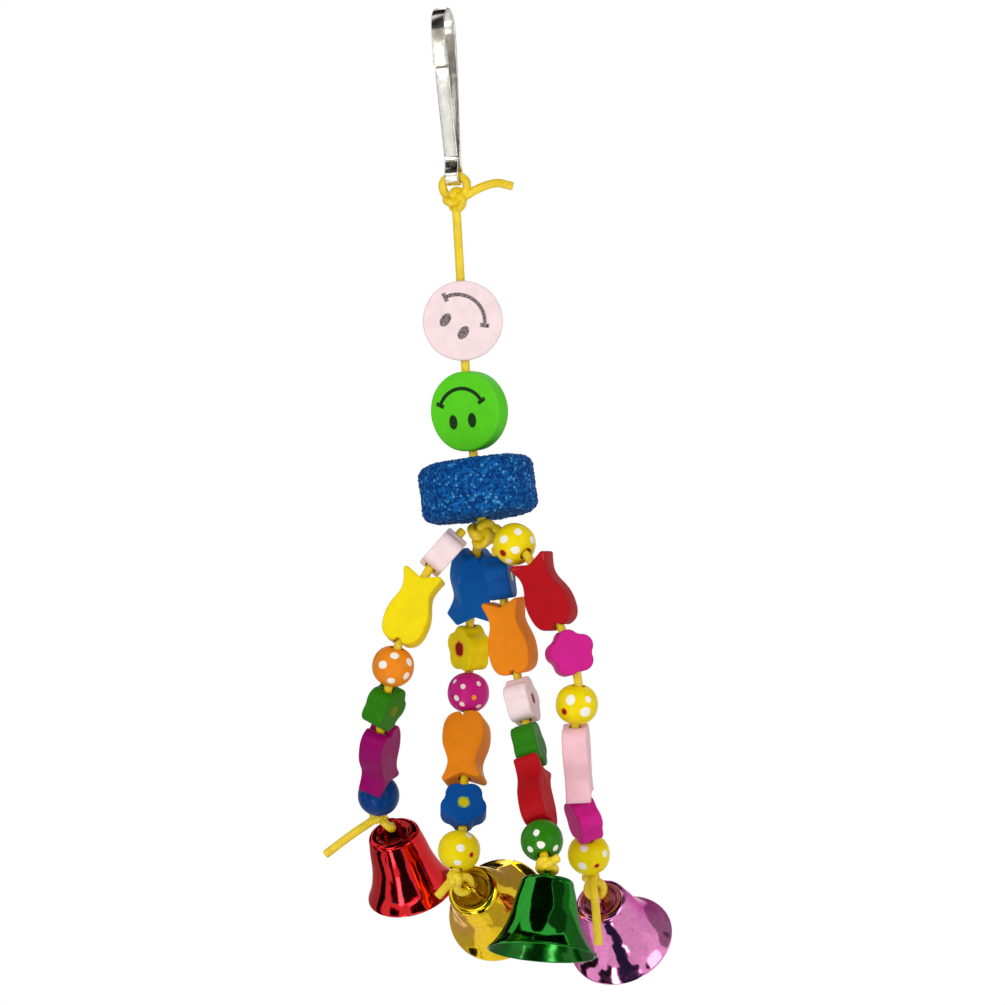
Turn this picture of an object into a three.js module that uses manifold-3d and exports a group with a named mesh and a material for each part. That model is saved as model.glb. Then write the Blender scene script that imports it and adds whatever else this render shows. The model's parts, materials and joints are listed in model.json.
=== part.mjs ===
// Hanging parrot toy: a spring hook, a yellow cord threaded with two discs and a grit block,
// and four strands of painted wooden beads that each end in a bell.
// Millimetres, +Z up. The origin is the inside of the hook's crown, which rests on a cage bar.
// The front is the side seen looking along +Y, so +X is to the right and +Y is to the back.
import * as THREE from 'three';
import { mergeVertices } from 'three/addons/utils/BufferGeometryUtils.js';
import Module from 'manifold-3d';

const wasm = await Module();
wasm.setup();

// Clearances
const gap = 0.3; // between pieces that rest against each other
const spinGap = 0.25; // between neighbours on a cord that turn past each other
const boreClearance = 0.4; // round the cord in a bore

// Cord
const cordDiameter = 2.2;
const cordSides = 8;

// Hook, bent from one flat strip
const stripThickness = 1;
const stripWidth = 3.4;
const crownRadius = 5.2; // to the middle of the strip, as are the hook's other sizes
const noseLength = 8.7;
const hookWaist = 1.5; // half the distance between the strips at the waist
const waistDrop = 36.5; // below the crown's inside
const eyeRadius = 2.5;
const eyeBelowWaist = 4.1; // from the waist to the eye's middle
const cheekThickness = 0.6;
const cheekDepth = 1.9;
const cheekHeight = 4.6;
const gateThickness = 0.8;
const gateShoulder = 0.7; // below the nose's tip, where the gate narrows to pass the cheeks
const gateTuck = 2.2; // how far the gate's tip reaches up into the nose
const hookTurn = 15; // degrees that the gate is turned from straight ahead to the left

// Pieces on the main cord
const discDiameter = 20;
const discThickness = 5;
const blockDiameter = 29;
const blockHeight = 14.5;
const blockEdge = 3.2;

// Beads
const fishLength = 18.8;
const fishWidth = 11.4;
const fishThickness = 6.3;
const fishWaist = 7.6;
const fishTail = 10.6;
const tailNotch = 1.6;
const tailRounding = 0.9;
const mouthWidth = 2.4;
const mouthDepth = 1.2;
const petalCount = 5;
const petalReach = 6.1; // from the flower's middle to a petal's tip
const petalRadius = 2.8;
const flowerThickness = 6;
const roundDiameter = 10.9;
const roundLength = 9.6;
const paintedEdge = 0.5; // rounding along the edges of discs, fish and flowers

// Bells
const bellHeight = 18;
const redMouth = 22.5; // across the bell's lip, as are the next three
const goldMouth = 26.5;
const greenMouth = 27;
const mauveMouth = 26.5;
const crownDiameter = 13.3;
const bellWall = 0.6;
const crownRing = 0.5; // height of the raised ring round the crown
const crownRingWidth = 0.9; // from the ring's foot on the crown to the bell's side
const shoulderDrop = 0.4; // from the crown to where the bell's side begins
const stapleWire = 1.1;
const stapleHeight = 2.1; // from the cord in the staple's arch to the crown
const stapleTail = 1.2; // how far the staple's legs run on below the crown before they curve in
const clapperWire = 0.8;
const clapperBall = 5.2;
const clapperLength = 9.2; // from the staple to the ball's middle

// Knots
const topKnot = 6;
const gatherKnot = 7.4;
const tieKnot = 4.6;

// Where things hang
const knotBelowEye = 6.5; // from the eye's middle to the top knot's middle
const topBareCord = 17; // cord that shows between the top knot and the first disc
const betweenDiscs = 2.3;
const aboveBlock = 1.9;

const paint = {
  pink: 0xfae0e2,
  rose: 0xf0bcc8,
  green: 0x2d8c14,
  brightGreen: 0x4fc428,
  blue: 0x0a55aa,
  yellow: 0xeedc0a,
  orange: 0xf08c19,
  red: 0xb9141e,
  magenta: 0xc81e8c,
};

// Every strand leaves the gather knot in the direction of its exit from the knot's middle.
// A bead's lean is the cord's angle to the right of straight down, and its back angle is the
// angle towards the back. Turn is how far its face looks to the right of the front, slack is the
// bare cord above it, and flip puts a fish's tail or a flower's valley at the top.
const strands = [
  {
    name: 'red',
    exit: [-1, -0.1, 0.2],
    beads: [
      { name: 'pink_flower', kind: 'flower', colour: paint.pink, lean: -46, back: -18, turn: 90 },
      { name: 'yellow_fish', kind: 'fish', colour: paint.yellow, lean: -25, back: -8, turn: -12, flip: true },
      { name: 'orange_bead', kind: 'round', colour: paint.orange, lean: -17, back: 12 },
      { name: 'green_flower', kind: 'flower', colour: paint.green, lean: -16, back: 33, turn: 62, flip: true },
      { name: 'magenta_fish', kind: 'fish', colour: paint.magenta, lean: -6, back: 43, turn: 62 },
      { name: 'blue_bead', kind: 'round', colour: paint.blue, lean: -6, back: 43 },
    ],
    tie: { lean: 46, back: 33, tail: [[-1.8, 0, -1.2], [-7, -0.5, -4.2], [-13.8, 0, -8.6]] },
    bell: { mouth: redMouth, lean: 13, back: 33, colour: 0xc80f19 },
  },
  {
    name: 'gold',
    exit: [-0.25, 0.95, -0.25],
    beads: [
      { name: 'blue_fish', kind: 'fish', colour: paint.blue, lean: -10, back: 26, turn: 24, slack: 2.2 },
      { name: 'yellow_flower', kind: 'flower', colour: paint.yellow, lean: -5, back: 8, turn: -57, slack: 0.7 },
      { name: 'magenta_bead', kind: 'round', colour: paint.magenta, lean: -6, back: -10 },
      { name: 'orange_fish', kind: 'fish', colour: paint.orange, lean: -7, back: -26, turn: -20 },
      { name: 'blue_flower', kind: 'flower', colour: paint.blue, lean: -6, back: -26, flip: true, slack: 1 },
      { name: 'yellow_bead', kind: 'round', colour: paint.yellow, lean: -14, back: -16 },
    ],
    tie: { lean: 52, back: 30, tail: [[-1.6, -0.6, -1.2], [-3.2, -1, -2.8], [-4.4, -1, -4]] },
    bell: { mouth: goldMouth, lean: 46, back: 62, colour: 0xd2aa14 },
  },
  {
    name: 'green',
    exit: [0.58, -0.3, -0.75],
    beads: [
      { name: 'blue_flower', kind: 'flower', colour: paint.blue, lean: 5, back: -1, turn: 80 },
      { name: 'orange_fish', kind: 'fish', colour: paint.orange, lean: 6, back: -1, turn: -25, flip: true },
      { name: 'pink_flower', kind: 'flower', colour: paint.pink, lean: 6, back: -18, turn: 74 },
      { name: 'green_flower', kind: 'flower', colour: paint.green, lean: 4, back: -33, turn: 76 },
      { name: 'red_fish', kind: 'fish', colour: paint.red, lean: 3, back: -40, turn: 72, flip: true },
      { name: 'green_bead', kind: 'round', colour: paint.green, lean: 4, back: -41 },
    ],
    tie: { lean: 16, back: 62, tail: [[1.8, 0, 0.4], [3, 0, 1], [4.4, -0.2, 1.6]] },
    bell: { mouth: greenMouth, lean: -9, back: -12, colour: 0x147814 },
  },
  {
    name: 'mauve',
    exit: [0.72, -0.75, 0.25],
    beads: [
      { name: 'yellow_top_bead', kind: 'round', colour: paint.yellow, lean: 45, back: -38, slack: 1.6 },
      { name: 'red_fish', kind: 'fish', colour: paint.red, lean: 20, back: -10, turn: -20, flip: true },
      { name: 'magenta_flower', kind: 'flower', colour: paint.magenta, lean: 15, back: 0, turn: 14 },
      { name: 'yellow_bead', kind: 'round', colour: paint.yellow, lean: -10, back: 11, slack: 1.6 },
      { name: 'rose_fish', kind: 'fish', colour: paint.rose, lean: 0, back: 18, turn: 84 },
      { name: 'magenta_edge_flower', kind: 'flower', colour: paint.magenta, lean: 6, back: 30, turn: -72 },
      { name: 'yellow_low_bead', kind: 'round', colour: paint.yellow, lean: 1, back: 36 },
    ],
    tie: { lean: 17, back: 6, tail: [[0.2, -1.8, -0.6], [0.6, -5, -5], [0.6, -6, -16.5]] },
    bell: { mouth: mauveMouth, lean: 23, back: 50, colour: 0xc850a0 },
  },
];

const cordRadius = cordDiameter / 2;
const eyeDrop = waistDrop + eyeBelowWaist; // both below the crown's inside
const topKnotDrop = eyeDrop + knotBelowEye;
const boreRadius = cordRadius + boreClearance;
const degree = Math.PI / 180;
const down = new THREE.Vector3(0, 0, -1);
const toBack = new THREE.Vector3(0, 1, 0);

// Solids and meshes

// A closed geometry as a solid that can be joined and cut.
function solid(geometry) {
  const bare = geometry.clone();
  bare.deleteAttribute('normal');
  bare.deleteAttribute('uv');
  const merged = mergeVertices(bare);
  const corners = merged.index.array;
  const kept = [];
  for (let i = 0; i < corners.length; i += 3) {
    const [a, b, c] = corners.slice(i, i + 3);
    if (a !== b && b !== c && c !== a) kept.push(a, b, c);
  }
  return new wasm.Manifold(
    new wasm.Mesh({
      numProp: 3,
      vertProperties: merged.attributes.position.array,
      triVerts: new Uint32Array(kept),
    }),
  );
}

function geometryOf(body) {
  const mesh = body.getMesh();
  const geometry = new THREE.BufferGeometry();
  geometry.setAttribute('position', new THREE.BufferAttribute(mesh.vertProperties, 3));
  geometry.setIndex(new THREE.BufferAttribute(mesh.triVerts, 1));
  geometry.computeVertexNormals();
  return geometry;
}

function joined(geometries) {
  return geometryOf(geometries.map(solid).reduce((whole, next) => whole.add(next)));
}

function cut(geometry, cutters) {
  return geometryOf(cutters.map(solid).reduce((whole, next) => whole.subtract(next), solid(geometry)));
}

function addMesh(group, name, geometry, colour, roughness = 0.5, metalness = 0) {
  const material = new THREE.MeshStandardMaterial({ color: colour, roughness, metalness });
  const mesh = new THREE.Mesh(geometry, material);
  mesh.name = name;
  group.add(mesh);
  return mesh;
}

// The direction of a cord that leans to the right and to the back of straight down.
function heading(lean, back) {
  const across = Math.cos(back * degree);
  return new THREE.Vector3(
    Math.sin(lean * degree) * across,
    Math.sin(back * degree),
    -Math.cos(lean * degree) * across,
  );
}

// Sets a piece on a cord: its own Z axis runs up the cord and its face looks to the front.
function thread(piece, middle, along, turn) {
  const up = along.clone().negate();
  const right = toBack.clone().cross(up).normalize();
  const behind = up.clone().cross(right);
  piece.quaternion.setFromRotationMatrix(new THREE.Matrix4().makeBasis(right, behind, up));
  piece.rotateZ(turn * degree);
  piece.position.copy(middle);
}

// Cords and knots

// A centre line that is straight between its points, so a cord lies straight in each bore.
class CordLine extends THREE.Curve {
  constructor(points) {
    super();
    this.points = points;
  }

  getPointAt(u) {
    return this.points[Math.round(u * (this.points.length - 1))].clone();
  }

  getTangentAt(u) {
    const at = Math.round(u * (this.points.length - 1));
    const before = this.points[Math.max(at - 1, 0)];
    const after = this.points[Math.min(at + 1, this.points.length - 1)];
    const here = this.points[at];
    const into = here.clone().sub(before).normalize();
    const out = after.clone().sub(here).normalize();
    return into.add(out).normalize();
  }
}

function circle(radius, sides) {
  const points = [];
  for (let i = 0; i < sides; i += 1) {
    const angle = (i / sides) * 2 * Math.PI;
    points.push(new THREE.Vector2(radius * Math.cos(angle), radius * Math.sin(angle)));
  }
  return new THREE.Shape(points);
}

function cordAlong(points) {
  return new THREE.ExtrudeGeometry(circle(cordRadius, cordSides), {
    steps: points.length - 1,
    extrudePath: new CordLine(points),
  });
}

// A cut tail, rounded between the points that it is bent through.
function tailAlong(points) {
  const steps = 4;
  return new THREE.ExtrudeGeometry(circle(cordRadius, cordSides), {
    steps,
    extrudePath: new THREE.CatmullRomCurve3(points),
  });
}

// A wire or cord link: a ring in the XZ plane whose two halves are drawn apart along Z.
// Its upper half stays centred on the origin.
function link(radius, wire, drawn, sides, steps) {
  const ring = new THREE.TorusGeometry(radius, wire / 2, sides, steps);
  ring.rotateX(Math.PI / 2);
  const places = ring.attributes.position;
  for (let i = 0; i < places.count; i += 1) {
    const lower = places.getZ(i) < -1e-4;
    if (lower) places.setZ(i, places.getZ(i) - drawn);
  }
  return ring;
}

// A pulled-tight knot: turns of cord round a core, each turn laid in another plane.
function knot(diameter, turns) {
  const turnRadius = diameter / 2 - cordRadius;
  const coreShare = 0.98;
  const sides = 5;
  const steps = 7;
  const pieces = [new THREE.SphereGeometry((diameter / 2) * coreShare, steps + 1, sides + 1)];
  for (let i = 0; i < turns; i += 1) {
    const turn = new THREE.TorusGeometry(turnRadius, cordRadius, sides, steps);
    turn.rotateX((i / turns) * Math.PI + Math.PI / 4);
    turn.rotateZ((i / turns) * Math.PI);
    pieces.push(turn);
  }
  return pieces;
}

// Pieces on the cords

function bore(length) {
  const sides = 10;
  return new THREE.CylinderGeometry(boreRadius, boreRadius, length * 2, sides).rotateX(Math.PI / 2);
}

// A flat outline in the XZ plane, given a thickness along Y and rounded edges.
function slab(shape, thickness, edge) {
  const flat = new THREE.ExtrudeGeometry(shape, {
    depth: thickness - 2 * edge,
    bevelEnabled: edge > 0,
    bevelThickness: edge,
    bevelSize: edge,
    bevelOffset: -edge,
    bevelSegments: 1,
  });
  return flat.translate(0, 0, edge - thickness / 2).rotateX(Math.PI / 2);
}

function disc() {
  const sides = 28;
  const coin = slab(circle(discDiameter / 2, sides), discThickness, paintedEdge);
  return cut(coin, [bore(discDiameter)]);
}

// A closed profile of radius and height, turned round the Z axis.
function turned(profile, sides) {
  const points = profile.map(([radius, height]) => new THREE.Vector2(radius, height));
  return new THREE.LatheGeometry(points, sides).rotateX(Math.PI / 2);
}

function quarterArc(middleRadius, middleHeight, arcRadius, from, to, steps) {
  const points = [];
  for (let i = 0; i <= steps; i += 1) {
    const angle = (from + ((to - from) * i) / steps) * degree;
    points.push([middleRadius + arcRadius * Math.cos(angle), middleHeight + arcRadius * Math.sin(angle)]);
  }
  return points;
}

function gritBlock() {
  const sides = 24;
  const arcSteps = 3;
  const shoulder = blockDiameter / 2 - blockEdge;
  const straight = blockHeight / 2 - blockEdge;
  return turned(
    [
      [boreRadius, -blockHeight / 2],
      ...quarterArc(shoulder, -straight, blockEdge, -90, 0, arcSteps),
      ...quarterArc(shoulder, straight, blockEdge, 0, 90, arcSteps),
      [boreRadius, blockHeight / 2],
      [boreRadius, -blockHeight / 2],
    ],
    sides,
  );
}

function roundBead() {
  const sides = 14;
  const arcSteps = 5;
  const steepest = Math.asin(roundLength / roundDiameter) / degree;
  return turned(
    [
      [boreRadius, -roundLength / 2],
      ...quarterArc(0, 0, roundDiameter / 2, -steepest, steepest, arcSteps),
      [boreRadius, roundLength / 2],
      [boreRadius, -roundLength / 2],
    ],
    sides,
  );
}

// The right half of the fish's outline, from the mouth at the top to the tail's notch.
function fishSide() {
  const top = fishLength / 2;
  const belly = fishWidth / 2;
  const waist = fishWaist / 2;
  const tail = fishTail / 2;
  const bellyHeight = top * 0.34;
  const waistHeight = -top * 0.46;
  const side = new THREE.Path();
  side.moveTo(0, top - mouthDepth);
  side.lineTo(mouthWidth / 2, top);
  side.bezierCurveTo(belly * 0.8, top, belly, top * 0.75, belly, bellyHeight);
  side.bezierCurveTo(belly, -top * 0.04, waist, -top * 0.2, waist, waistHeight);
  side.quadraticCurveTo(waist, -top * 0.62, tail, -top + tailRounding);
  side.quadraticCurveTo(tail, -top, tail - tailRounding, -top);
  side.lineTo(0, -top + tailNotch);
  return side.getPoints(3);
}

function fish() {
  const right = fishSide();
  const left = right.slice(1, -1).reverse().map((point) => new THREE.Vector2(-point.x, point.y));
  const outline = new THREE.Shape([...right, ...left]);
  return cut(slab(outline, fishThickness, paintedEdge), [bore(fishLength)]);
}

const petalMiddle = petalReach - petalRadius;
const halfPetal = Math.PI / petalCount;

// Radius of the valley where two petals meet.
function valleyRadius() {
  const halfChord = petalMiddle * Math.sin(halfPetal);
  return petalMiddle * Math.cos(halfPetal) + Math.sqrt(petalRadius ** 2 - halfChord ** 2);
}

function flower() {
  const arcSteps = 4;
  const valley = valleyRadius();
  const spread = Math.atan2(valley * Math.sin(halfPetal), valley * Math.cos(halfPetal) - petalMiddle);
  const points = [];
  for (let petal = 0; petal < petalCount; petal += 1) {
    const facing = Math.PI / 2 + petal * 2 * halfPetal;
    for (let i = 0; i < arcSteps; i += 1) {
      const angle = facing - spread + (2 * spread * i) / arcSteps;
      points.push(
        new THREE.Vector2(
          petalMiddle * Math.cos(facing) + petalRadius * Math.cos(angle),
          petalMiddle * Math.sin(facing) + petalRadius * Math.sin(angle),
        ),
      );
    }
  }
  return cut(slab(new THREE.Shape(points), flowerThickness, paintedEdge), [bore(petalReach * 2)]);
}

// How far each kind reaches along its bore at a distance from the bore's axis, on the end
// with a fish's head or a petal and on the end with a tail or a valley.
const headFall = 0.1; // of a fish's head, for each square millimetre outside its mouth
const arcReach = (radius, at) => Math.sqrt(Math.max(radius ** 2 - at ** 2, 0));

const kinds = {
  disc: {
    make: disc,
    radius: discDiameter / 2,
    thickness: discThickness,
    head: (at) => arcReach(discDiameter / 2, at),
    tail: (at) => arcReach(discDiameter / 2, at),
  },
  block: {
    make: gritBlock,
    radius: blockDiameter / 2 - blockEdge,
    head: () => blockHeight / 2,
    tail: () => blockHeight / 2,
  },
  round: {
    make: roundBead,
    radius: roundDiameter / 2,
    head: (at) => Math.min(arcReach(roundDiameter / 2, at), roundLength / 2),
    tail: (at) => Math.min(arcReach(roundDiameter / 2, at), roundLength / 2),
  },
  fish: {
    make: fish,
    radius: Math.hypot(fishTail, fishThickness) / 2,
    thickness: fishThickness,
    head: (at) => fishLength / 2 - Math.max(at - mouthWidth / 2, 0) ** 2 * headFall,
    tail: (at) => {
      const lobe = fishTail / 2 - tailRounding;
      return fishLength / 2 - tailNotch * Math.max(1 - at / lobe, 0);
    },
  },
  flower: {
    make: flower,
    radius: Math.hypot(petalReach, flowerThickness / 2),
    thickness: flowerThickness,
    head: (at) => petalMiddle + arcReach(petalRadius, at),
    tail: (at) => {
      const beside = at - petalMiddle * Math.sin(halfPetal);
      return petalMiddle * Math.cos(halfPetal) + arcReach(petalRadius, beside);
    },
  },
};

// The furthest that a turning piece reaches at a distance from its axis, over its thickness.
function sweptReach(kind, end, at) {
  const halfThickness = Math.min((kind.thickness ?? 0) / 2, at);
  return Math.max(kind[end](at), kind[end](Math.sqrt(at ** 2 - halfThickness ** 2)));
}

const above = (bead, at) => sweptReach(kinds[bead.kind], bead.flip ? 'tail' : 'head', at);
const below = (bead, at) => sweptReach(kinds[bead.kind], bead.flip ? 'head' : 'tail', at);

// Whether two neighbours turn clear of each other when their bores meet at a bend, with some bare
// cord between them. Points all round the lower one's top are held against the upper one's end.
function turnClear(upper, lower, bend, bare) {
  const probes = 12;
  const rounds = 6;
  const upperReach = below(upper, boreRadius) + bare / 2;
  const lowerReach = above(lower, boreRadius) + bare / 2;
  const { radius } = kinds[lower.kind];
  for (let i = 0; i <= probes; i += 1) {
    const at = boreRadius + ((radius - boreRadius) * i) / probes;
    const drop = lowerReach - above(lower, at);
    for (let j = 0; j <= rounds; j += 1) {
      const inward = at * Math.cos((j / rounds) * Math.PI);
      const beside = at * Math.sin((j / rounds) * Math.PI);
      const across = Math.hypot(drop * Math.sin(bend) + inward * Math.cos(bend), beside);
      const under = drop * Math.cos(bend) - inward * Math.sin(bend);
      const overlapped = across <= kinds[upper.kind].radius;
      if (overlapped && under < below(upper, across) - upperReach + spinGap) return false;
    }
  }
  return true;
}

// The least bare cord between two neighbours that lets them turn.
function leastBare(upper, lower, bend) {
  const step = 0.05;
  let bare = spinGap;
  while (!turnClear(upper, lower, bend, bare)) bare += step;
  return bare;
}

// Threads beads one under another from a start point, and gives the cord's points.
function threadBeads(group, prefix, start, lead, beads) {
  const points = [start.clone()];
  let upper = null;
  let upperHeading = null;
  let bend = start.clone();
  for (const bead of beads) {
    const along = heading(bead.lean, bead.back);
    const slack = bead.slack ?? 0;
    const reach = above(bead, boreRadius);
    let toMiddle = lead + slack + reach;
    if (upper) {
      const bare = leastBare(upper, bead, along.angleTo(upperHeading)) + slack;
      bend = points.at(-1).clone().addScaledVector(upperHeading, upper.run + bare / 2);
      points.push(bend);
      toMiddle = bare / 2 + reach;
    }
    const middle = bend.clone().addScaledVector(along, toMiddle);
    const mesh = addMesh(group, `${prefix}${bead.name}`, kinds[bead.kind].make(), bead.colour, 0.45);
    thread(mesh, middle, along, bead.turn ?? 0);
    if (bead.flip) mesh.rotateY(Math.PI);
    upper = { ...bead, run: toMiddle + below(bead, boreRadius) };
    upperHeading = along;
  }
  return { points, end: points.at(-1).clone().addScaledVector(upperHeading, upper.run) };
}

// Hook

// A strip bent along a centre line in the XZ plane, standing across Y.
function bentStrip(path, thickness, width, divisions) {
  const apart = (point, i, all) => i === 0 || point.distanceTo(all[i - 1]) > 1e-3;
  const line = path.getPoints(divisions).filter(apart);
  const side = (sign) =>
    line.map((point, i) => {
      const along = line[Math.min(i + 1, line.length - 1)].clone().sub(line[Math.max(i - 1, 0)]).normalize();
      const across = new THREE.Vector2(-along.y, along.x);
      return point.clone().addScaledVector(across, (sign * thickness) / 2);
    });
  return slab(new THREE.Shape([...side(1), ...side(-1).reverse()]), width, 0);
}

function hookFrame() {
  const crownMiddle = stripThickness / 2 - crownRadius;
  const noseTip = crownMiddle - noseLength;
  const eyeOpening = 70 * degree; // from straight up to where the strip joins the eye
  const joinX = eyeRadius * Math.sin(eyeOpening);
  const joinZ = -eyeDrop + eyeRadius * Math.cos(eyeOpening);
  const path = new THREE.Path();
  path.moveTo(crownRadius, noseTip);
  path.lineTo(crownRadius, crownMiddle);
  path.absarc(0, crownMiddle, crownRadius, 0, Math.PI);
  const spineOut = hookWaist * 1.7;
  path.bezierCurveTo(-crownRadius, -waistDrop * 0.4, -spineOut, -waistDrop * 0.75, -hookWaist, -waistDrop);
  path.quadraticCurveTo(-hookWaist * 0.95, joinZ * 0.97, -joinX, joinZ);
  path.absarc(0, -eyeDrop, eyeRadius, Math.PI / 2 + eyeOpening, 2.5 * Math.PI - eyeOpening);
  path.quadraticCurveTo(hookWaist * 0.95, joinZ * 0.97, hookWaist, -waistDrop);
  const strip = bentStrip(path, stripThickness, stripWidth, 7);
  const cheek = () => new THREE.BoxGeometry(cheekDepth, cheekThickness, cheekHeight);
  const cheekX = crownRadius - cheekDepth / 2;
  const cheekY = (stripWidth - cheekThickness) / 2;
  const cheekZ = noseTip + cheekHeight / 2;
  const back = cheek().translate(cheekX, cheekY, cheekZ);
  const front = cheek().translate(cheekX, -cheekY, cheekZ);
  return joined([strip, back, front]);
}

function hookGate() {
  const noseTip = stripThickness / 2 - crownRadius - noseLength;
  const tipX = crownRadius - stripThickness / 2 - gap - gateThickness / 2;
  const tipZ = noseTip + gateTuck;
  const foot = -waistDrop + gap;
  const path = new THREE.Path();
  path.moveTo(hookWaist, foot);
  path.bezierCurveTo(hookWaist * 1.7, foot * 0.75, tipX * 1.05, foot * 0.55, tipX, tipZ);
  const strip = bentStrip(path, gateThickness, stripWidth, 8);
  const tongue = stripWidth - 2 * (cheekThickness + gap);
  const shoulder = noseTip - gateShoulder;
  const trim = () => new THREE.BoxGeometry(crownRadius * 2, stripWidth, cheekHeight);
  const trimY = (tongue + stripWidth) / 2;
  const trimZ = shoulder + cheekHeight / 2;
  return cut(strip, [trim().translate(tipX, trimY, trimZ), trim().translate(tipX, -trimY, trimZ)]);
}

// Bells

// Side of the bell outside its wall, from the shoulder down to the lip.
function bellSide(mouth) {
  const top = crownDiameter / 2;
  const lip = mouth / 2;
  const flare = lip - top;
  const curve = new THREE.SplineCurve([
    new THREE.Vector2(top, -shoulderDrop),
    new THREE.Vector2(top + flare * 0.13, -bellHeight * 0.24),
    new THREE.Vector2(top + flare * 0.32, -bellHeight * 0.55),
    new THREE.Vector2(top + flare * 0.64, -bellHeight * 0.82),
    new THREE.Vector2(lip, -bellHeight),
  ]);
  return curve.getPoints(5).map((point) => [point.x, point.y]);
}

// A bell whose crown lies at the origin, with two holes for its staple's legs.
function bellShell(mouth, legX) {
  const sides = 18;
  const outside = bellSide(mouth);
  const inside = outside.slice(1).map(([radius, height]) => [radius - bellWall, height]);
  const ringIn = crownDiameter / 2 - crownRingWidth;
  const ringMiddle = crownDiameter / 2 - crownRingWidth / 2;
  const shell = turned(
    [
      [0, 0],
      [ringIn, 0],
      [ringMiddle, crownRing],
      ...outside,
      ...inside.reverse(),
      [crownDiameter / 2 - 2 * bellWall, -bellWall],
      [0, -bellWall],
    ].reverse(),
    sides,
  );
  const holeRadius = stapleWire / 2 + gap;
  const hole = new THREE.CylinderGeometry(holeRadius, holeRadius, bellWall * 4, 8).rotateX(Math.PI / 2);
  return cut(shell, [hole.clone().translate(legX, 0, 0), hole.clone().translate(-legX, 0, 0)]);
}

// A wire eye round the staple's lower bar, a stem and a ball. The bar runs along X at the origin.
function clapper() {
  const eyeRing = stapleWire / 2 + gap + clapperWire / 2;
  const sides = 5;
  const eye = new THREE.TorusGeometry(eyeRing, clapperWire / 2, sides, 9).rotateY(Math.PI / 2);
  const stemLength = clapperLength - eyeRing;
  const stem = new THREE.CylinderGeometry(clapperWire / 2, clapperWire / 2, stemLength, sides);
  stem.rotateX(Math.PI / 2).translate(0, 0, -eyeRing - stemLength / 2);
  const ball = new THREE.SphereGeometry(clapperBall / 2, 8, 6);
  ball.rotateX(Math.PI / 2).translate(0, 0, -clapperLength);
  return joined([eye, stem, ball]);
}

// A bell with its staple and clapper. The group's origin is on the cord in the staple's arch and
// its Y axis runs along that cord, so the bell swings about it.
function bellOn(strand) {
  const { bell, name } = strand;
  const bellGroup = new THREE.Group();
  bellGroup.name = `${name}_bell_swing`;
  const archRadius = cordRadius + gap + stapleWire / 2;
  const drawn = stapleHeight + bellWall + stapleTail;
  const metal = [0.2, 0.9];
  const staple = link(archRadius, stapleWire, drawn, 5, 12);
  addMesh(bellGroup, `${name}_bell_staple`, staple, bell.colour, ...metal);
  const shell = addMesh(bellGroup, `${name}_bell`, bellShell(bell.mouth, archRadius), bell.colour, ...metal);
  shell.position.z = -stapleHeight;
  const clapperMesh = addMesh(bellGroup, `${name}_bell_clapper`, clapper(), 0xb8b8b8, 0.3, 0.9);
  clapperMesh.position.z = -drawn - archRadius;
  return bellGroup;
}

// Ties

// A tie at a strand's end: a knot, a loop through the bell's staple and a cut tail.
function tieSolid(loopDirection, loopAcross, tailPoints) {
  const loopRadius = cordRadius + gap + stapleWire / 2;
  const loopMiddle = tieKnot / 2 + gap + stapleWire / 2;
  const loop = new THREE.TorusGeometry(loopRadius, cordRadius, 6, 9);
  const faceOn = loopDirection.clone().cross(loopAcross);
  const basis = new THREE.Matrix4().makeBasis(loopAcross, loopDirection, faceOn.negate());
  loop.applyMatrix4(basis);
  loop.translate(...loopDirection.clone().multiplyScalar(loopMiddle).toArray());
  const tail = tailAlong(tailPoints.map((point) => new THREE.Vector3(...point)));
  return {
    geometry: joined([...knot(tieKnot, 2), loop, tail]),
    bottom: loopMiddle + loopRadius,
  };
}

// The whole toy

const cordColour = 0xf5d814;

function strandGroup(strand, knotMiddle) {
  const group = new THREE.Group();
  group.position.set(...strand.exit).setLength(gatherKnot / 2 + gap + cordRadius).add(knotMiddle);
  const start = new THREE.Vector3();
  const lead = cordRadius + gap;
  const { points, end } = threadBeads(group, `${strand.name}_strand_`, start, lead, strand.beads);

  const tieWay = heading(strand.tie.lean, strand.tie.back);
  const bellWay = heading(strand.bell.lean, strand.bell.back);
  const across = tieWay.clone().cross(bellWay).normalize();
  const tie = tieSolid(tieWay, across, strand.tie.tail);
  const lastBead = strand.beads.at(-1);
  const lastWay = heading(lastBead.lean, lastBead.back);
  const knotAt = end.clone().addScaledVector(lastWay, tieKnot / 2 + spinGap);
  const tieMesh = addMesh(group, `${strand.name}_strand_tie`, tie.geometry, cordColour, 0.6);
  tieMesh.position.copy(knotAt);

  const cordEnd = knotAt.clone().addScaledVector(lastWay, -tieKnot / 2 - gap);
  const ball = new THREE.SphereGeometry(cordRadius, cordSides, 4);
  const cordShape = joined([cordAlong([...points, cordEnd]), ball]);
  addMesh(group, `${strand.name}_strand_cord`, cordShape, cordColour, 0.6);

  const bellGroup = bellOn(strand);
  const up = bellWay.clone().negate();
  const basis = new THREE.Matrix4().makeBasis(across.clone().cross(up), across, up);
  bellGroup.quaternion.setFromRotationMatrix(basis);
  bellGroup.position.copy(knotAt).addScaledVector(tieWay, tie.bottom);
  group.add(bellGroup);
  return group;
}

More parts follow.
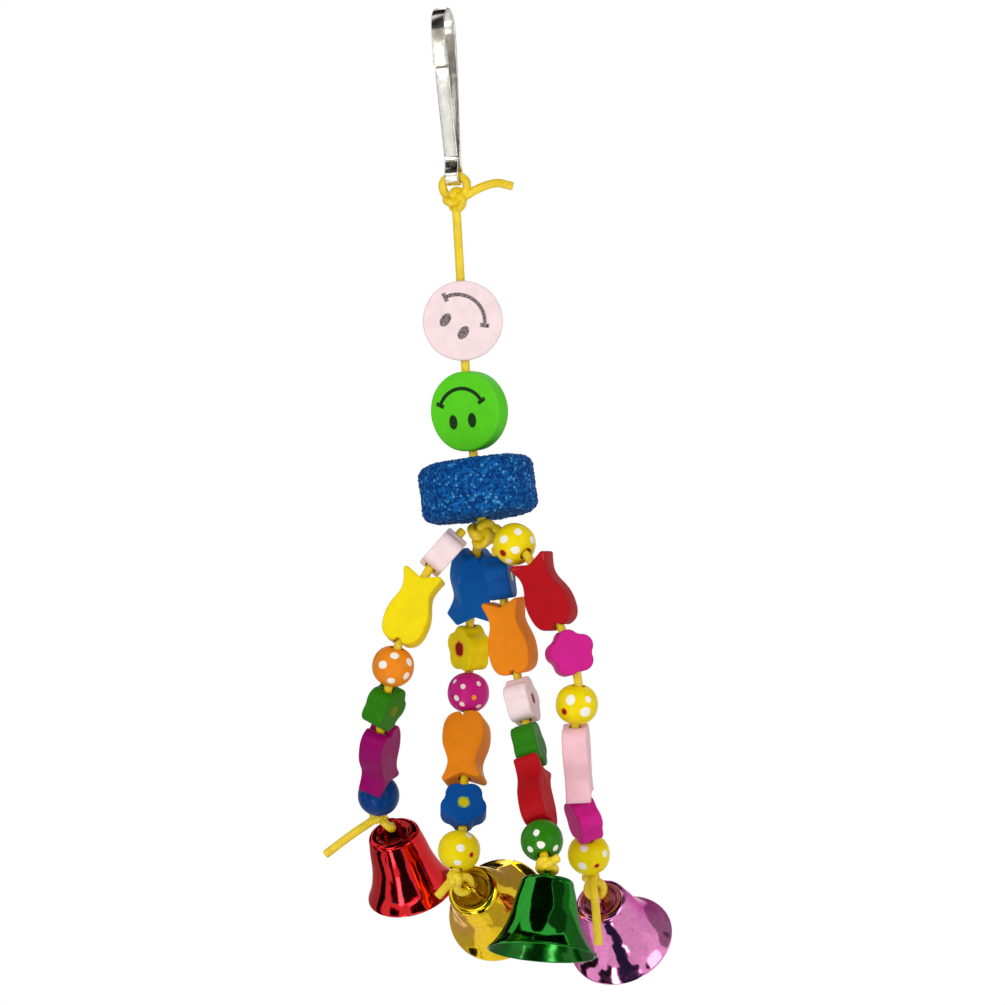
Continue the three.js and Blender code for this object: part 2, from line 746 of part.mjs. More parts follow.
// The cord's loop through the hook's eye, its knot and its tail.
function topTie() {
  const inEye = eyeRadius - stripThickness / 2 - gap - cordRadius;
  const loopTop = -eyeDrop - inEye;
  const loopBottom = -eyeDrop - eyeRadius - stripThickness / 2 - gap - cordRadius;
  const loopRadius = (loopTop - loopBottom) / 2;
  const sideRun = stripWidth / 2 + gap + cordRadius - loopRadius;
  const loop = link(loopRadius, cordDiameter, sideRun * 2, 6, 12);
  loop.translate(0, 0, sideRun).rotateX(Math.PI / 2).rotateY(Math.PI / 2);
  loop.rotateZ(-(90 + hookTurn) * degree).translate(0, 0, loopTop - loopRadius);
  const tail = tailAlong([
    new THREE.Vector3(1.6, 0, 0.4),
    new THREE.Vector3(6.2, -1, 2.4),
    new THREE.Vector3(10.6, -1.4, 3.2),
    new THREE.Vector3(14.2, -1.2, 1.4),
  ]);
  const pieces = [...knot(topKnot, 2), tail].map((piece) => piece.translate(0, 0, -topKnotDrop));
  return joined([...pieces, loop]);
}

const toy = new THREE.Group();

const hook = new THREE.Group();
hook.rotation.z = -(90 + hookTurn) * degree;
addMesh(hook, 'hook_frame', hookFrame(), 0xc9ccd0, 0.2, 1);
addMesh(hook, 'hook_gate', hookGate(), 0xc9ccd0, 0.2, 1);
toy.add(hook);

addMesh(toy, 'top_tie', topTie(), cordColour, 0.6);
const mainStart = new THREE.Vector3(0, 0, -topKnotDrop - topKnot / 2 - gap);
const mainPieces = [
  { name: 'pink_disc', kind: 'disc', colour: paint.pink, lean: -1, back: 0, turn: 0 },
  {
    name: 'green_disc',
    kind: 'disc',
    colour: paint.brightGreen,
    lean: 1,
    back: 0,
    turn: -31,
    slack: betweenDiscs,
  },
  { name: 'grit_block', kind: 'block', colour: 0x0f5fa8, lean: 3, back: -5, slack: aboveBlock },
];
const mainRun = threadBeads(toy, '', mainStart, topBareCord, mainPieces);
const knotMiddle = mainRun.end.clone().addScaledVector(down, gatherKnot / 2 + spinGap);
const mainEnd = knotMiddle.clone().addScaledVector(down, -gatherKnot / 2 - gap);
addMesh(toy, 'main_cord', cordAlong([...mainRun.points, mainEnd]), cordColour, 0.6);
const gather = addMesh(toy, 'gather_knot', joined(knot(gatherKnot, 3)), cordColour, 0.6);
gather.position.copy(knotMiddle);

for (const strand of strands) toy.add(strandGroup(strand, knotMiddle));

export default toy;
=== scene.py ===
"""Hanging parrot toy: painted wooden beads, a grit block and four lacquered bells on yellow cord.

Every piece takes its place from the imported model's joints and nodes. Sizes here are in millimetres,
and meshes are written in metres. The front is the side seen looking along +Y.
"""
import json
import math

import bmesh
import bpy
import numpy as np
from mathutils import Matrix, Vector, noise

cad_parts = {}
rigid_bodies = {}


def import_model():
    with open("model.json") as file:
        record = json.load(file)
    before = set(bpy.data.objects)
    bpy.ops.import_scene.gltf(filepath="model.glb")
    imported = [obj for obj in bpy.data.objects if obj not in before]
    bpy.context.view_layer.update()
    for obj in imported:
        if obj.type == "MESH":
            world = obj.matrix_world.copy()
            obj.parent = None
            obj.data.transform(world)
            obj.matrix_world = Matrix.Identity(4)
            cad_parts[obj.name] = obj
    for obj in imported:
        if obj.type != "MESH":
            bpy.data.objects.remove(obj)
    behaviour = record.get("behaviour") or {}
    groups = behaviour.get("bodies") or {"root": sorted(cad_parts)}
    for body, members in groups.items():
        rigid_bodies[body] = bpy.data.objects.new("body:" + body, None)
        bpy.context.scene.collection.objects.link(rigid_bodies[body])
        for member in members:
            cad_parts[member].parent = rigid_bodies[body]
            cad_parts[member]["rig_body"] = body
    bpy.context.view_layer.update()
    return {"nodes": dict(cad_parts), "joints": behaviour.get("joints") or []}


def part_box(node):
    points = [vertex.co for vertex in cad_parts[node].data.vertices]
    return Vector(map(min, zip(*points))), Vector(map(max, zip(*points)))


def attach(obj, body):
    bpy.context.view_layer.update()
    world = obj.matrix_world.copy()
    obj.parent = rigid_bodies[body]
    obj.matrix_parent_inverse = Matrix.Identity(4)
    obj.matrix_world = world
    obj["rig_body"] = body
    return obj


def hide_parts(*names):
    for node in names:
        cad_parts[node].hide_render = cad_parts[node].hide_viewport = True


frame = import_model()

MM = 0.001
scene = bpy.context.scene
joints = {joint["name"]: joint for joint in frame["joints"]}

# Meshes
SHARP = 40  # degrees, over which an edge isn't shaded smooth
MERGE = 1e-7  # metres

# Cord
CORD = 2.2
BORE = 3.0
CORD_STEPS = 8  # rings of a tube between two points of its route
TUBE_SIDES = 14
END_ROUNDING = [(0.12, 0.96), (0.22, 0.86), (0.3, 0.66)]  # of a cut end, as shares of the radius: out, across

# Hook, bent from one flat strip
STRIP_THICKNESS = 1.0
STRIP_WIDTH = 3.4
STRIP_CORNER = 0.28
CROWN_RADIUS = 5.2
CROWN_MIDDLE = STRIP_THICKNESS / 2 - CROWN_RADIUS
NOSE_LENGTH = 8.7
NOSE_END = CROWN_MIDDLE - NOSE_LENGTH
HOOK_WAIST = 1.5
WAIST_DROP = 36.5
SPINE_OUT = 2.55
EYE_RADIUS = 2.5
EYE_DROP = 40.6
EYE_OPENING = math.radians(70)
CHEEK_THICKNESS = 0.6
CHEEK_DEPTH = 1.9
CHEEK_HEIGHT = 4.6
CHEEK_EDGE = 0.2
GATE_THICKNESS = 0.8
GATE_CORNER = 0.22
GATE_TUCK = 2.2
HOOK_TURN = math.radians(15)
GAP = 0.3
SPIN_GAP = 0.25

# Pieces on the main cord
DISC_DIAMETER = 20.0
DISC_THICKNESS = 5.0
DISC_WOBBLE = 0.1
BLOCK_DIAMETER = 29.0
BLOCK_HEIGHT = 14.5
BLOCK_EDGE = 3.0
BLOCK_SIDES = 252
GRAIN = 0.95  # size of a grain of the grit
FINE_GRAIN = 0.62
GRAIN_STEP = 0.36  # between the block's points, close enough to show the grains
GRAIN_RISE = 0.24  # of a grain's middle over the smooth surface
GRAIN_FALL = 0.68  # from its middle, over one grain's size
GRAIN_EDGE = 0.75  # where the fall ends, as a share of that size
LUMP_SCALE = 0.16
LUMP_RISE = 0.28

# Beads
FISH_LENGTH = 18.8
FISH_WIDTH = 11.4
FISH_THICKNESS = 6.3
FISH_WAIST = 7.6
FISH_TAIL = 10.6
TAIL_NOTCH = 1.6
TAIL_ROUNDING = 0.9
MOUTH_WIDTH = 2.4
MOUTH_DEPTH = 1.2
PETALS = 5
PETAL_REACH = 6.1
PETAL_RADIUS = 2.8
FLOWER_THICKNESS = 6.0
ROUND_DIAMETER = 10.9
ROUND_LENGTH = 9.6
PAINTED_EDGE = 0.55
FACE_LIP = 0.12  # flat rim of a face inside its rounded edge
DRAWN_IN = 0.18  # of a curved bead, so that it stays clear of its neighbours as it turns
BEAD_WOBBLE = 0.06
WOBBLE_SCALE = 0.22
WOBBLE_SEED = 1  # gives every run the same wobble

# Half the length over which the cord runs straight in each kind of piece
STRAIGHT_HALF = {
    "disc": DISC_DIAMETER * 0.46,
    "block": BLOCK_HEIGHT * 0.45,
    "fish": FISH_LENGTH * 0.36,
    "flower": PETAL_REACH * 0.66,
    "bead": ROUND_LENGTH * 0.42,
}

# Bells
BELL_HEIGHT = 18.0
CROWN_DIAMETER = 13.3
BELL_WALL = 0.6
BELL_SHARP = 50
BELL_CURVE = [(0.13, 0.24), (0.32, 0.55), (0.64, 0.82), (1.0, 1.0)]  # shares of the flare and of the height
LIP_ROLL = [(0.05, 0.18), (-0.15, 0.32), (-0.4, 0.28)]  # past the lip's radius and below it
CROWN_RING = 0.5  # rise of the rolled rim round the crown
CROWN_SINK = 0.4  # depth of the crown inside that rim
CROWN_FLOOR = 3.3
SHOULDER = 1.6
STAPLE_WIRE = 1.1
STAPLE_HEIGHT = 2.1
STAPLE_TAIL = 1.2
STAPLE_HOLE = STAPLE_WIRE / 2 + 0.1
ARCH_RADIUS = CORD / 2 + GAP + STAPLE_WIRE / 2
STAPLE_DRAWN = STAPLE_HEIGHT + BELL_WALL + STAPLE_TAIL
CLAPPER_WIRE = 0.8
CLAPPER_SIDES = 10
CLAPPER_BALL = 5.2
CLAPPER_LENGTH = 9.2  # from the eye's middle to the ball's
WIRE_END = 1.0  # above the ball's middle
BELL_MOUTH = {"red": 22.5, "gold": 26.5, "green": 27.0, "mauve": 26.5}

# Knots and ties
KNOT_CORD = CORD * 0.95  # pulled tight
TIE_CORD = CORD * 0.92
KNOT_RING = 0.62  # share of a knot's reach that its cord winds round
KNOT_LIFT = 1.5
TOP_KNOT = 6.8
TOP_KNOT_DROP = 47.1
GATHER_KNOT = 8.3
GATHER_INNER = 7.2
TIE_KNOT = 4.6  # room for the knot between the bead and the loop
TIE_WINDING = 4.7  # the knot's own diameter
TIE_DROP = ROUND_LENGTH / 2 + SPIN_GAP + TIE_KNOT / 2  # from the last bead's middle to the knot's
LOOP_DROP = TIE_KNOT / 2 + GAP + STAPLE_WIRE / 2  # from the knot's middle to the loop's
TOP_TAIL = [(1.6, 0, 0.4), (6.2, -1, 2.5), (10.6, -1.4, 3.4), (14.2, -1.2, 2.4)]
TIE_TAILS = {
    "red": [(-1.8, 0, -1.2), (-7, -0.5, -4.2), (-13.8, 0, -8.6)],
    "gold": [(-1.6, -0.6, -1.2), (-3.2, -1, -2.8), (-4.4, -1, -4)],
    "green": [(1.6, 0, 0.3), (2.4, 0, 0.7), (3.3, -0.1, 1.1)],
    "mauve": [(0.2, -1.8, -0.6), (0.6, -5, -5), (0.6, -6, -16.5)],
}
STRANDS = ["red", "gold", "green", "mauve"]
ORIGIN = Vector((0, 0, 0))
UP = Vector((0, 0, 1))

# Camera: the photograph is 1005 pixels wide at 4 pixels to the millimetre, rolled a little.
PIXELS = 1005
PIXELS_PER_MM = 4.0
ROLL = math.radians(4.2)
CROWN_PIXEL = (442, 12)
CAMERA_DISTANCE = 3000.0
CLIP_END = 20.0  # metres
SENSOR = 36.0
VIEW_RIGHT = Vector((math.cos(ROLL), 0, -math.sin(ROLL)))
VIEW_UP = Vector((math.sin(ROLL), 0, math.cos(ROLL)))
VIEW_BACK = Vector((0, -1, 0))

# Studio
FLOOR_DROP = 1400.0
FLOOR_SIZE = 3000.0
AMBIENT = 0.47
LAMPS = {  # place, aim and diameter in metres, and power
    "key": ((-0.6, -1.25, 0.35), (0.0, 0.0, -0.12), 1.0, 7.2),
    "fill": ((0.85, -1.05, -0.1), (0.0, 0.0, -0.12), 0.9, 4.0),
    "low": ((-0.05, -1.2, -0.8), (0.0, 0.0, -0.15), 0.8, 2.8),
    "back": ((0.3, 0.9, 0.5), (0.0, 0.0, -0.12), 0.7, 4.0),
}

# Glowing panels round the studio, which show only in reflections and paint the reflections on the bells and
# the hook (painted reflections, no lamps): degrees of azimuth from the front to the right, degrees of
# elevation, and light.
PANEL_RADIUS = 1000.0
PANEL_MIDDLE = Vector((10, 0, -200))
PANEL_STEPS = 12
DARK = (0.012, 0.011, 0.011)
NAVY = (0.02, 0.026, 0.06)
DIM = (0.1, 0.1, 0.1)
KHAKI = (0.3, 0.26, 0.16)
DUSK = (0.34, 0.32, 0.33)
GREY = (0.5, 0.48, 0.5)
PALE = (0.85, 0.84, 0.85)
WHITE_LIGHT = (1.0, 1.0, 1.0)
BRIGHT = (7.0, 7.0, 7.0)
PANELS = {
    "floor_band": ((-20, 36), (-82, -52), NAVY),
    "floor_under": ((36, 84), (-86, -63), NAVY),
    "floor_strip": ((40, 46), (-62, -48), BRIGHT),
    "low_front": ((-26, 22), (-54, -24), NAVY),
    "low_strip": ((-44, -30), (-52, -22), BRIGHT),
    "low_beside": ((-76, -48), (-54, -27), DARK),
    "low_left": ((-112, -94), (-50, 10), DARK),
    "low_far_left": ((-160, -114), (-40, 10), GREY),
    "low_pale": ((46, 92), (-63, -14), PALE),
    "low_right": ((92, 176), (-68, -28), GREY),
    "right_rim": ((92, 176), (-28, 13), PALE),
    "beside_right": ((66, 93), (13, 24), DUSK),
    "far_right": ((93, 176), (13, 46), DUSK),
    "floor_behind": ((170, 296), (-80, -42), WHITE_LIGHT),
    "front": ((-16, 34), (-16, 20), DARK),
    "front_left": ((-70, -46), (-16, 10), DARK),
    "spine_khaki": ((-44, -17), (13, 22), KHAKI),
    "left_bar": ((-60, -34), (22, 48), DARK),
    "high_front": ((-62, 36), (48, 86), DARK),
    "high_middle": ((-34, 36), (22, 48), DARK),
    "high_right": ((38, 93), (24, 60), DIM),
    "high_back": ((178, 236), (11, 34), DARK),
    "ceiling": ((100, 258), (48, 88), DARK),
}


def srgb(red, green, blue):
    """A colour written as it looks, in 0 to 255, as the linear value that shaders take."""
    linear = []
    for value in (red, green, blue):
        share = value / 255
        linear.append(share / 12.92 if share <= 0.04045 else ((share + 0.055) / 1.055) ** 2.4)
    return (*linear, 1.0)


def shade(colour, share):
    return (*(channel * share for channel in colour[:3]), 1.0)


def lighter(colour, share):
    return (*(channel + (1 - channel) * share for channel in colour[:3]), 1.0)


PAINT = {
    "pink": srgb(249, 224, 227),
    "rose": srgb(246, 196, 206),
    "green": srgb(44, 124, 14),
    "bright_green": srgb(92, 212, 36),
    "blue": srgb(8, 80, 158),
    "yellow": srgb(246, 220, 6),
    "orange": srgb(240, 138, 24),
    "red": srgb(180, 14, 24),
    "magenta": srgb(208, 32, 138),
}
DISC_PAINT = {"pink_disc": "pink", "green_disc": "bright_green"}
DISC_SEED = 41  # past those of the beads
OWN_TONES_AND_PAINTED_LIGHT = {  # beads whose tone differs from the others of their colour, and one lightened as painted light
    "red_strand_magenta_fish": srgb(146, 2, 96),
    "red_strand_blue_bead": srgb(4, 58, 124),
    # partly its own lighter blue and partly painted light, lighter to make up for the shade it lies in under
    # the block
    "gold_strand_blue_fish": srgb(8, 100, 190),
}
FLAT_FINISH = (0.42, 0.06)  # roughness and shine
ROUND_FINISH = (0.16, 0.1)
WHITE = srgb(248, 244, 232)
INK = srgb(20, 20, 24)
DARK_RED = srgb(150, 16, 10)
HALO = srgb(246, 170, 20)
BARE_WOOD = srgb(150, 104, 60)
CORD_YELLOW = srgb(250, 216, 14)
NICKEL = (srgb(238, 235, 228), 0.09)  # colour and roughness
STEEL = (srgb(190, 188, 182), 0.2)
LACQUER = {
    "red": srgb(214, 18, 30),
    "gold": srgb(238, 198, 16),
    "green": srgb(30, 150, 36),
    "mauve": srgb(230, 136, 194),
}
EDGE_TONES = {**LACQUER, "mauve": srgb(214, 84, 178)}  # of the lacquer seen along the surface

# Dots on the round beads, with two white spots on the blue one that are painted highlights: right of and
# below the middle as seen from the front, radius, and any colour but white.
DOTS_AND_PAINTED_HIGHLIGHTS = {
    "red_strand_orange_bead": [
        (-2.7, -0.5, 1.1), (0.5, -2.8, 1.1), (4.2, -1.2, 1.1), (-0.5, 3.7, 1.1), (3.5, 2.5, 1.0),
    ],
    # painted highlights: white spots where light glints on the glossy blue bead, repeated on its far side
    "red_strand_blue_bead": [(-4.2, -2.4, 0.8), (-0.8, -1.0, 0.6)],
    "gold_strand_magenta_bead": [
        (-3.5, -3.0, 0.7), (-1.4, -1.7, 0.6), (2.7, -2.3, 0.7), (-3.0, 1.3, 0.7), (-1.7, 3.0, 0.7),
        (2.7, 3.5, 0.7), (1.5, 1.2, 0.7, HALO),
    ],
    "gold_strand_yellow_bead": [
        (3.1, 1.0, 0.6, DARK_RED), (0.4, -0.8, 1.0), (-0.4, 3.0, 0.9), (2.4, -4.0, 0.9),
    ],
    "green_strand_green_bead": [
        (-1.5, -2.1, 0.9), (-0.3, 0.9, 1.0), (-3.0, 2.1, 0.8), (3.5, 1.9, 0.9),
        (0.5, 3.6, 0.7, PAINT["yellow"]),
    ],
    "mauve_strand_yellow_top_bead": [
        (0.9, -3.2, 1.1), (-2.8, -1.2, 1.1), (0.2, 1.6, 1.1), (4.6, -1.0, 1.0), (-1.5, 4.4, 1.0),
        (-3.0, 2.3, 0.8, DARK_RED),
    ],
    "mauve_strand_yellow_bead": [
        (-1.7, -1.3, 1.3), (3.0, -1.3, 0.9), (2.2, 1.9, 1.4), (-3.2, 1.8, 0.8, DARK_RED),
    ],
    "mauve_strand_yellow_low_bead": [
        (-1.8, 3.0, 1.1), (4.1, -0.3, 1.0), (2.1, 2.8, 0.7, DARK_RED), (-1.2, -1.8, 1.0),
    ],
}

# Flower centres: colour, halo, whether the dot is on the front face or the back one, and its radius.
FRONT = -1
BACK = 1
CENTRES = {
    "red_strand_pink_flower": (DARK_RED, None, FRONT, 1.4),
    "red_strand_green_flower": (srgb(122, 124, 20), None, FRONT, 1.5),
    "gold_strand_yellow_flower": (DARK_RED, HALO, FRONT, 1.8),
    "gold_strand_blue_flower": (srgb(214, 190, 10), srgb(150, 180, 60), FRONT, 1.1),
    "green_strand_blue_flower": (PAINT["yellow"], None, FRONT, 1.3),
    "green_strand_pink_flower": (DARK_RED, None, FRONT, 1.4),
    "green_strand_green_flower": (PAINT["yellow"], None, BACK, 1.3),
    "mauve_strand_magenta_flower": (PAINT["yellow"], None, BACK, 1.3),
    "mauve_strand_magenta_edge_flower": (PAINT["yellow"], None, BACK, 1.3),
}
HALO_WIDTH = 0.45

# Smile print on the discs: an arc with a short tick at each end, and two oval eyes.
SMILE_RADIUS = 6.85
SMILE_HALF_ANGLE = math.radians(62)
SMILE_DROP = -1.0  # from the disc's middle to the arc's centre, towards the mouth
SMILE_LINE = 0.95
TICK_LENGTH = 2.3
TICK_LINE = SMILE_LINE * 1.1
EYE_APART = 2.75
EYE_RISE = 2.35
EYE_SIZE = (1.2, 1.85)
# For each disc: direction of the mouth, how far the print is off to the side, and ink left in worn spots.
SMILES = {
    "pink_disc": (math.radians(51.5), -0.92, 0.55),
    "green_disc": (math.radians(91), -0.75, 0.9),
}


# Places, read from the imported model

def joint_place(name):
    """A joint's point in millimetres, and its unit axis."""
    joint = joints[name]
    return Vector(joint["pos_m"]) / MM, Vector(joint["axis"]).normalized()


def node_points(node):
    vertices = frame["nodes"][node].data.vertices
    return np.array([vertex.co for vertex in vertices]) / MM


def middle_of(node):
    low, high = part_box(node)
    return (low + high) / 2 / MM


def placed(x, y, z, origin):
    """The matrix with these axes and origin, in millimetres."""
    turned = Matrix((x, y, z)).transposed().to_4x4()
    return Matrix.Translation(origin) @ turned


def in_metres(place):
    """A place in millimetres, as the matrix of an object in metres."""
    return Matrix.Translation(place.translation * MM) @ place.to_3x3().to_4x4()


def bead_place(node, is_round):
    """Z runs along a threaded piece's bore and Y through its thickness, towards the back."""
    middle, bore = joint_place(node + "_spin")
    behind = Vector((0, 1, 0))
    if not is_round:
        offsets = node_points(node) - np.array(middle)
        across = offsets - np.outer(offsets @ np.array(bore), np.array(bore))
        directions = np.linalg.eigh(across.T @ across)[1]
        thin = Vector(directions[:, 1])  # the first direction is the bore's
        behind = thin if thin.y > 0 else -thin
    behind = (behind - bore * behind.dot(bore)).normalized()
    return placed(behind.cross(bore), behind, bore, middle)


def bore_down(node):
    """A threaded piece's middle, and the way down its bore."""
    middle, bore = joint_place(node + "_spin")
    return middle, bore if bore.z < 0 else -bore


def bell_place(name):
    """The origin is on the cord in the staple's arch, Y along that cord and Z up the bell."""
    hinge, across = joint_place(f"{name}_bell_swing")
    centroid = Vector(node_points(f"{name}_bell").mean(axis=0))
    up = (hinge - centroid).normalized()
    up = (up - across * up.dot(across)).normalized()
    return placed(across.cross(up), across, up, hinge)


def strand_beads(name):
    """The strand's beads from the top down."""
    start = f"{name}_strand_"
    return [j["child"] for j in frame["joints"] if j["child"].startswith(start) and "_spin" in j["name"]]


def tie_middle(name):
    """The middle of the knot under a strand's last bead."""
    middle, down = bore_down(strand_beads(name)[-1])
    return middle + down * TIE_DROP


def kind_of(node):
    """The kind of a threaded piece: fish, flower, bead, disc or block."""
    return node.rsplit("_", 1)[1]


def paint_of(node):
    """The paint that a bead's name gives after its strand's."""
    return node.split("_strand_")[1].split("_")[0]


# Curves, as lists of points

def bezier(start, first, second, end, count):
    """Points along a cubic curve, without its start."""
    start, first, second, end = (Vector(point) for point in (start, first, second, end))
    points = []
    for i in range(1, count + 1):
        t = i / count
        s = 1 - t
        points.append(start * s ** 3 + first * 3 * s * s * t + second * 3 * s * t * t + end * t ** 3)
    return points


def bend(start, corner, end, count):
    """Points along a quadratic curve, without its start."""
    start, corner, end = (Vector(point) for point in (start, corner, end))
    return bezier(start, start.lerp(corner, 2 / 3), end.lerp(corner, 2 / 3), end, count)


def arc(centre, radius, begin, end, count):
    """Points round a circle in a plane, without the first."""
    angles = [begin + (end - begin) * i / count for i in range(1, count + 1)]
    return [Vector((centre[0] + radius * math.cos(a), centre[1] + radius * math.sin(a))) for a in angles]


def smooth_route(points, steps):
    """A smooth curve through all the points."""
    points = [Vector(point) for point in points]
    ends = [points[0] * 2 - points[1], *points, points[-1] * 2 - points[-2]]
    route = [points[0]]
    for i in range(1, len(ends) - 2):
        before, here, there, after = ends[i - 1:i + 3]
        span = (there - here).length
        into = (there - before).normalized() * span / 3
        out = (after - here).normalized() * span / 3
        route.extend(bezier(here, here + into, there - out, there, steps))
    return route


# Meshes

class Form:
    """Vertices and faces that become one mesh."""

    def __init__(self):
        self.vertices = []
        self.faces = []

    def add(self, vertices, faces):
        first = len(self.vertices)
        self.vertices.extend(Vector(vertex) for vertex in vertices)
        self.faces.extend([first + corner for corner in face] for face in faces)
        return self

    def rings(self, rings, closed=False, capped=True):
        """Quads between rings of equal length, with a face over each end."""
        count = len(rings[0])
        faces = []
        spans = len(rings) if closed else len(rings) - 1
        for i in range(spans):
            low = i * count
            high = ((i + 1) % len(rings)) * count
            for k in range(count):
                after = (k + 1) % count
                faces.append([low + k, low + after, high + after, high + k])
        if capped and not closed:
            faces.append(list(range(count))[::-1])
            faces.append([(len(rings) - 1) * count + k for k in range(count)])
        return self.add([vertex for ring in rings for vertex in ring], faces)

    def mesh(self, name, sharp=SHARP):
        """The mesh in metres, smooth but for edges sharper than an angle in degrees."""
        mesh = bpy.data.meshes.new(name)
        mesh.from_pydata([vertex * MM for vertex in self.vertices], [], self.faces)
        work = bmesh.new()
        work.from_mesh(mesh)
        bmesh.ops.remove_doubles(work, verts=work.verts, dist=MERGE)
        bmesh.ops.dissolve_degenerate(work, edges=work.edges, dist=MERGE)
        bmesh.ops.recalc_face_normals(work, faces=work.faces)
        work.to_mesh(mesh)
        work.free()
        return shaded(mesh, sharp)


def shaded(mesh, sharp):
    mesh.polygons.foreach_set("use_smooth", [True] * len(mesh.polygons))
    mesh.set_sharp_from_angle(angle=math.radians(sharp))
    return mesh


def tube_rings(route, radius, sides, closed=False):
    """Rings square to a route, with rounded ends where it is open."""
    route = [Vector(point) for point in route]
    last = len(route) - 1
    turns = [2 * math.pi * k / sides for k in range(sides)]
    rings = []
    side = None
    for i, point in enumerate(route):
        before = route[i - 1] if closed or i > 0 else point
        after = route[(i + 1) % len(route)] if closed or i < last else point
        along = (after - before).normalized()
        if side is None:
            side = along.orthogonal()
        side = (side - along * side.dot(along)).normalized()
        other = along.cross(side)
        rings.append([point + (side * math.cos(a) + other * math.sin(a)) * radius for a in turns])
    if closed:
        return rings

    def rounding(end, inner, ring):
        """Rings from an end of the tube outwards."""
        way = (end - inner).normalized()
        return [[end + way * out * radius + (v - end) * share for v in ring] for out, share in END_ROUNDING]

    first = rounding(route[0], route[1], rings[0])
    return first[::-1] + rings + rounding(route[-1], route[-2], rings[-1])


def lathe_rings(profile, sides):
    """Rings round Z through (radius, height) points."""
    turns = [2 * math.pi * k / sides for k in range(sides)]
    return [[(r * math.cos(a), r * math.sin(a), z) for a in turns] for r, z in profile]


def slab(outline, thickness, edge, steps=5):
    """An outline in XZ with a thickness along Y and rounded edges."""
    count = len(outline)
    outward = []
    for i in range(count):
        along = (outline[(i + 1) % count] - outline[i - 1]).normalized()
        outward.append(Vector((along.y, -along.x)))
    half = thickness / 2
    layers = [(edge + FACE_LIP, -half)]
    for i in range(steps + 1):
        angle = math.pi / 2 * i / steps
        layers.append((edge * (1 - math.sin(angle)), -half + edge * (1 - math.cos(angle))))
    layers += [(inset, -height) for inset, height in reversed(layers)]
    rings = []
    for inset, height in layers:
        inner = [point - way * inset for point, way in zip(outline, outward)]
        rings.append([(point.x, height, point.y) for point in inner])
    return Form().rings(rings)


def rod(radius, length, at=ORIGIN, sides=32):
    """A straight cutter along Z."""
    rings = lathe_rings([(radius, -length / 2), (radius, length / 2)], sides)
    form = Form().rings(rings)
    form.vertices = [at + vertex for vertex in form.vertices]
    return form.mesh("cutter")


def add_object(name, data):
    obj = bpy.data.objects.new(name, data)
    scene.collection.objects.link(obj)
    return obj


def cut_away(mesh, cutters, sharp=SHARP):
    """The mesh with other meshes cut out of it."""
    body = add_object("cut_body", mesh)
    tools = []
    for cutter in cutters:
        tool = add_object("cutter", cutter)
        tools.append(tool)
        modifier = body.modifiers.new("cut", "BOOLEAN")
        modifier.object = tool
        modifier.operation = "DIFFERENCE"
        modifier.solver = "EXACT"
    depsgraph = bpy.context.evaluated_depsgraph_get()
    result = bpy.data.meshes.new_from_object(body.evaluated_get(depsgraph))
    for obj in [body, *tools]:
        bpy.data.objects.remove(obj)
    return shaded(result, sharp)


def hand_made(mesh, seed, amount):
    """A copy of a mesh with flat faces and an outline a little out of true, as hand-sanded wood has."""
    copy = mesh.copy()
    start = Vector((seed * 7.3, seed * 3.1, seed * 5.7))
    for vertex in copy.vertices:
        at = vertex.co / MM * WOBBLE_SCALE + start
        drift = noise.noise_vector((at.x, start.y, at.z))
        vertex.co += Vector((drift.x, 0, drift.z)) * amount * MM
    return copy


def dress(node, mesh, place, material):
    """Puts a mesh in the place of a CAD node."""
    obj = add_object(node + "_form", mesh)
    obj.matrix_world = in_metres(place)
    mesh.materials.clear()
    mesh.materials.append(material)
    bpy.context.view_layer.update()
    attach(obj, frame["nodes"][node]["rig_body"])
    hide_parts(node)
    return obj


# Materials

class Nodes:
    """Fills a node tree: inputs that are sockets are linked, and others are set."""

    def __init__(self, tree):
        self.tree = tree

    def put(self, socket, value):
        if isinstance(value, bpy.types.NodeSocket):
            self.tree.links.new(value, socket)
        else:
            socket.default_value = value

    def node(self, kind, inputs, **settings):
        made = self.tree.nodes.new("ShaderNode" + kind)
        for key, value in settings.items():
            setattr(made, key, value)
        for key, value in inputs.items():
            self.put(made.inputs[key], value)
        return made

    def math(self, operation, first, second=0.0):
        return self.node("Math", {0: first, 1: second}, operation=operation).outputs[0]

    def shown(self, seen, unseen):
        """Mixes two closures: one for what shows or is mirrored, the other for light."""
        path = self.node("LightPath", {}).outputs
        share = path["Is Camera Ray"]
        for ray in ("Is Glossy Ray", "Is Transmission Ray"):
            share = self.math("MAXIMUM", share, path[ray])
        return self.node("MixShader", {0: share, 1: unseen, 2: seen}).outputs[0]


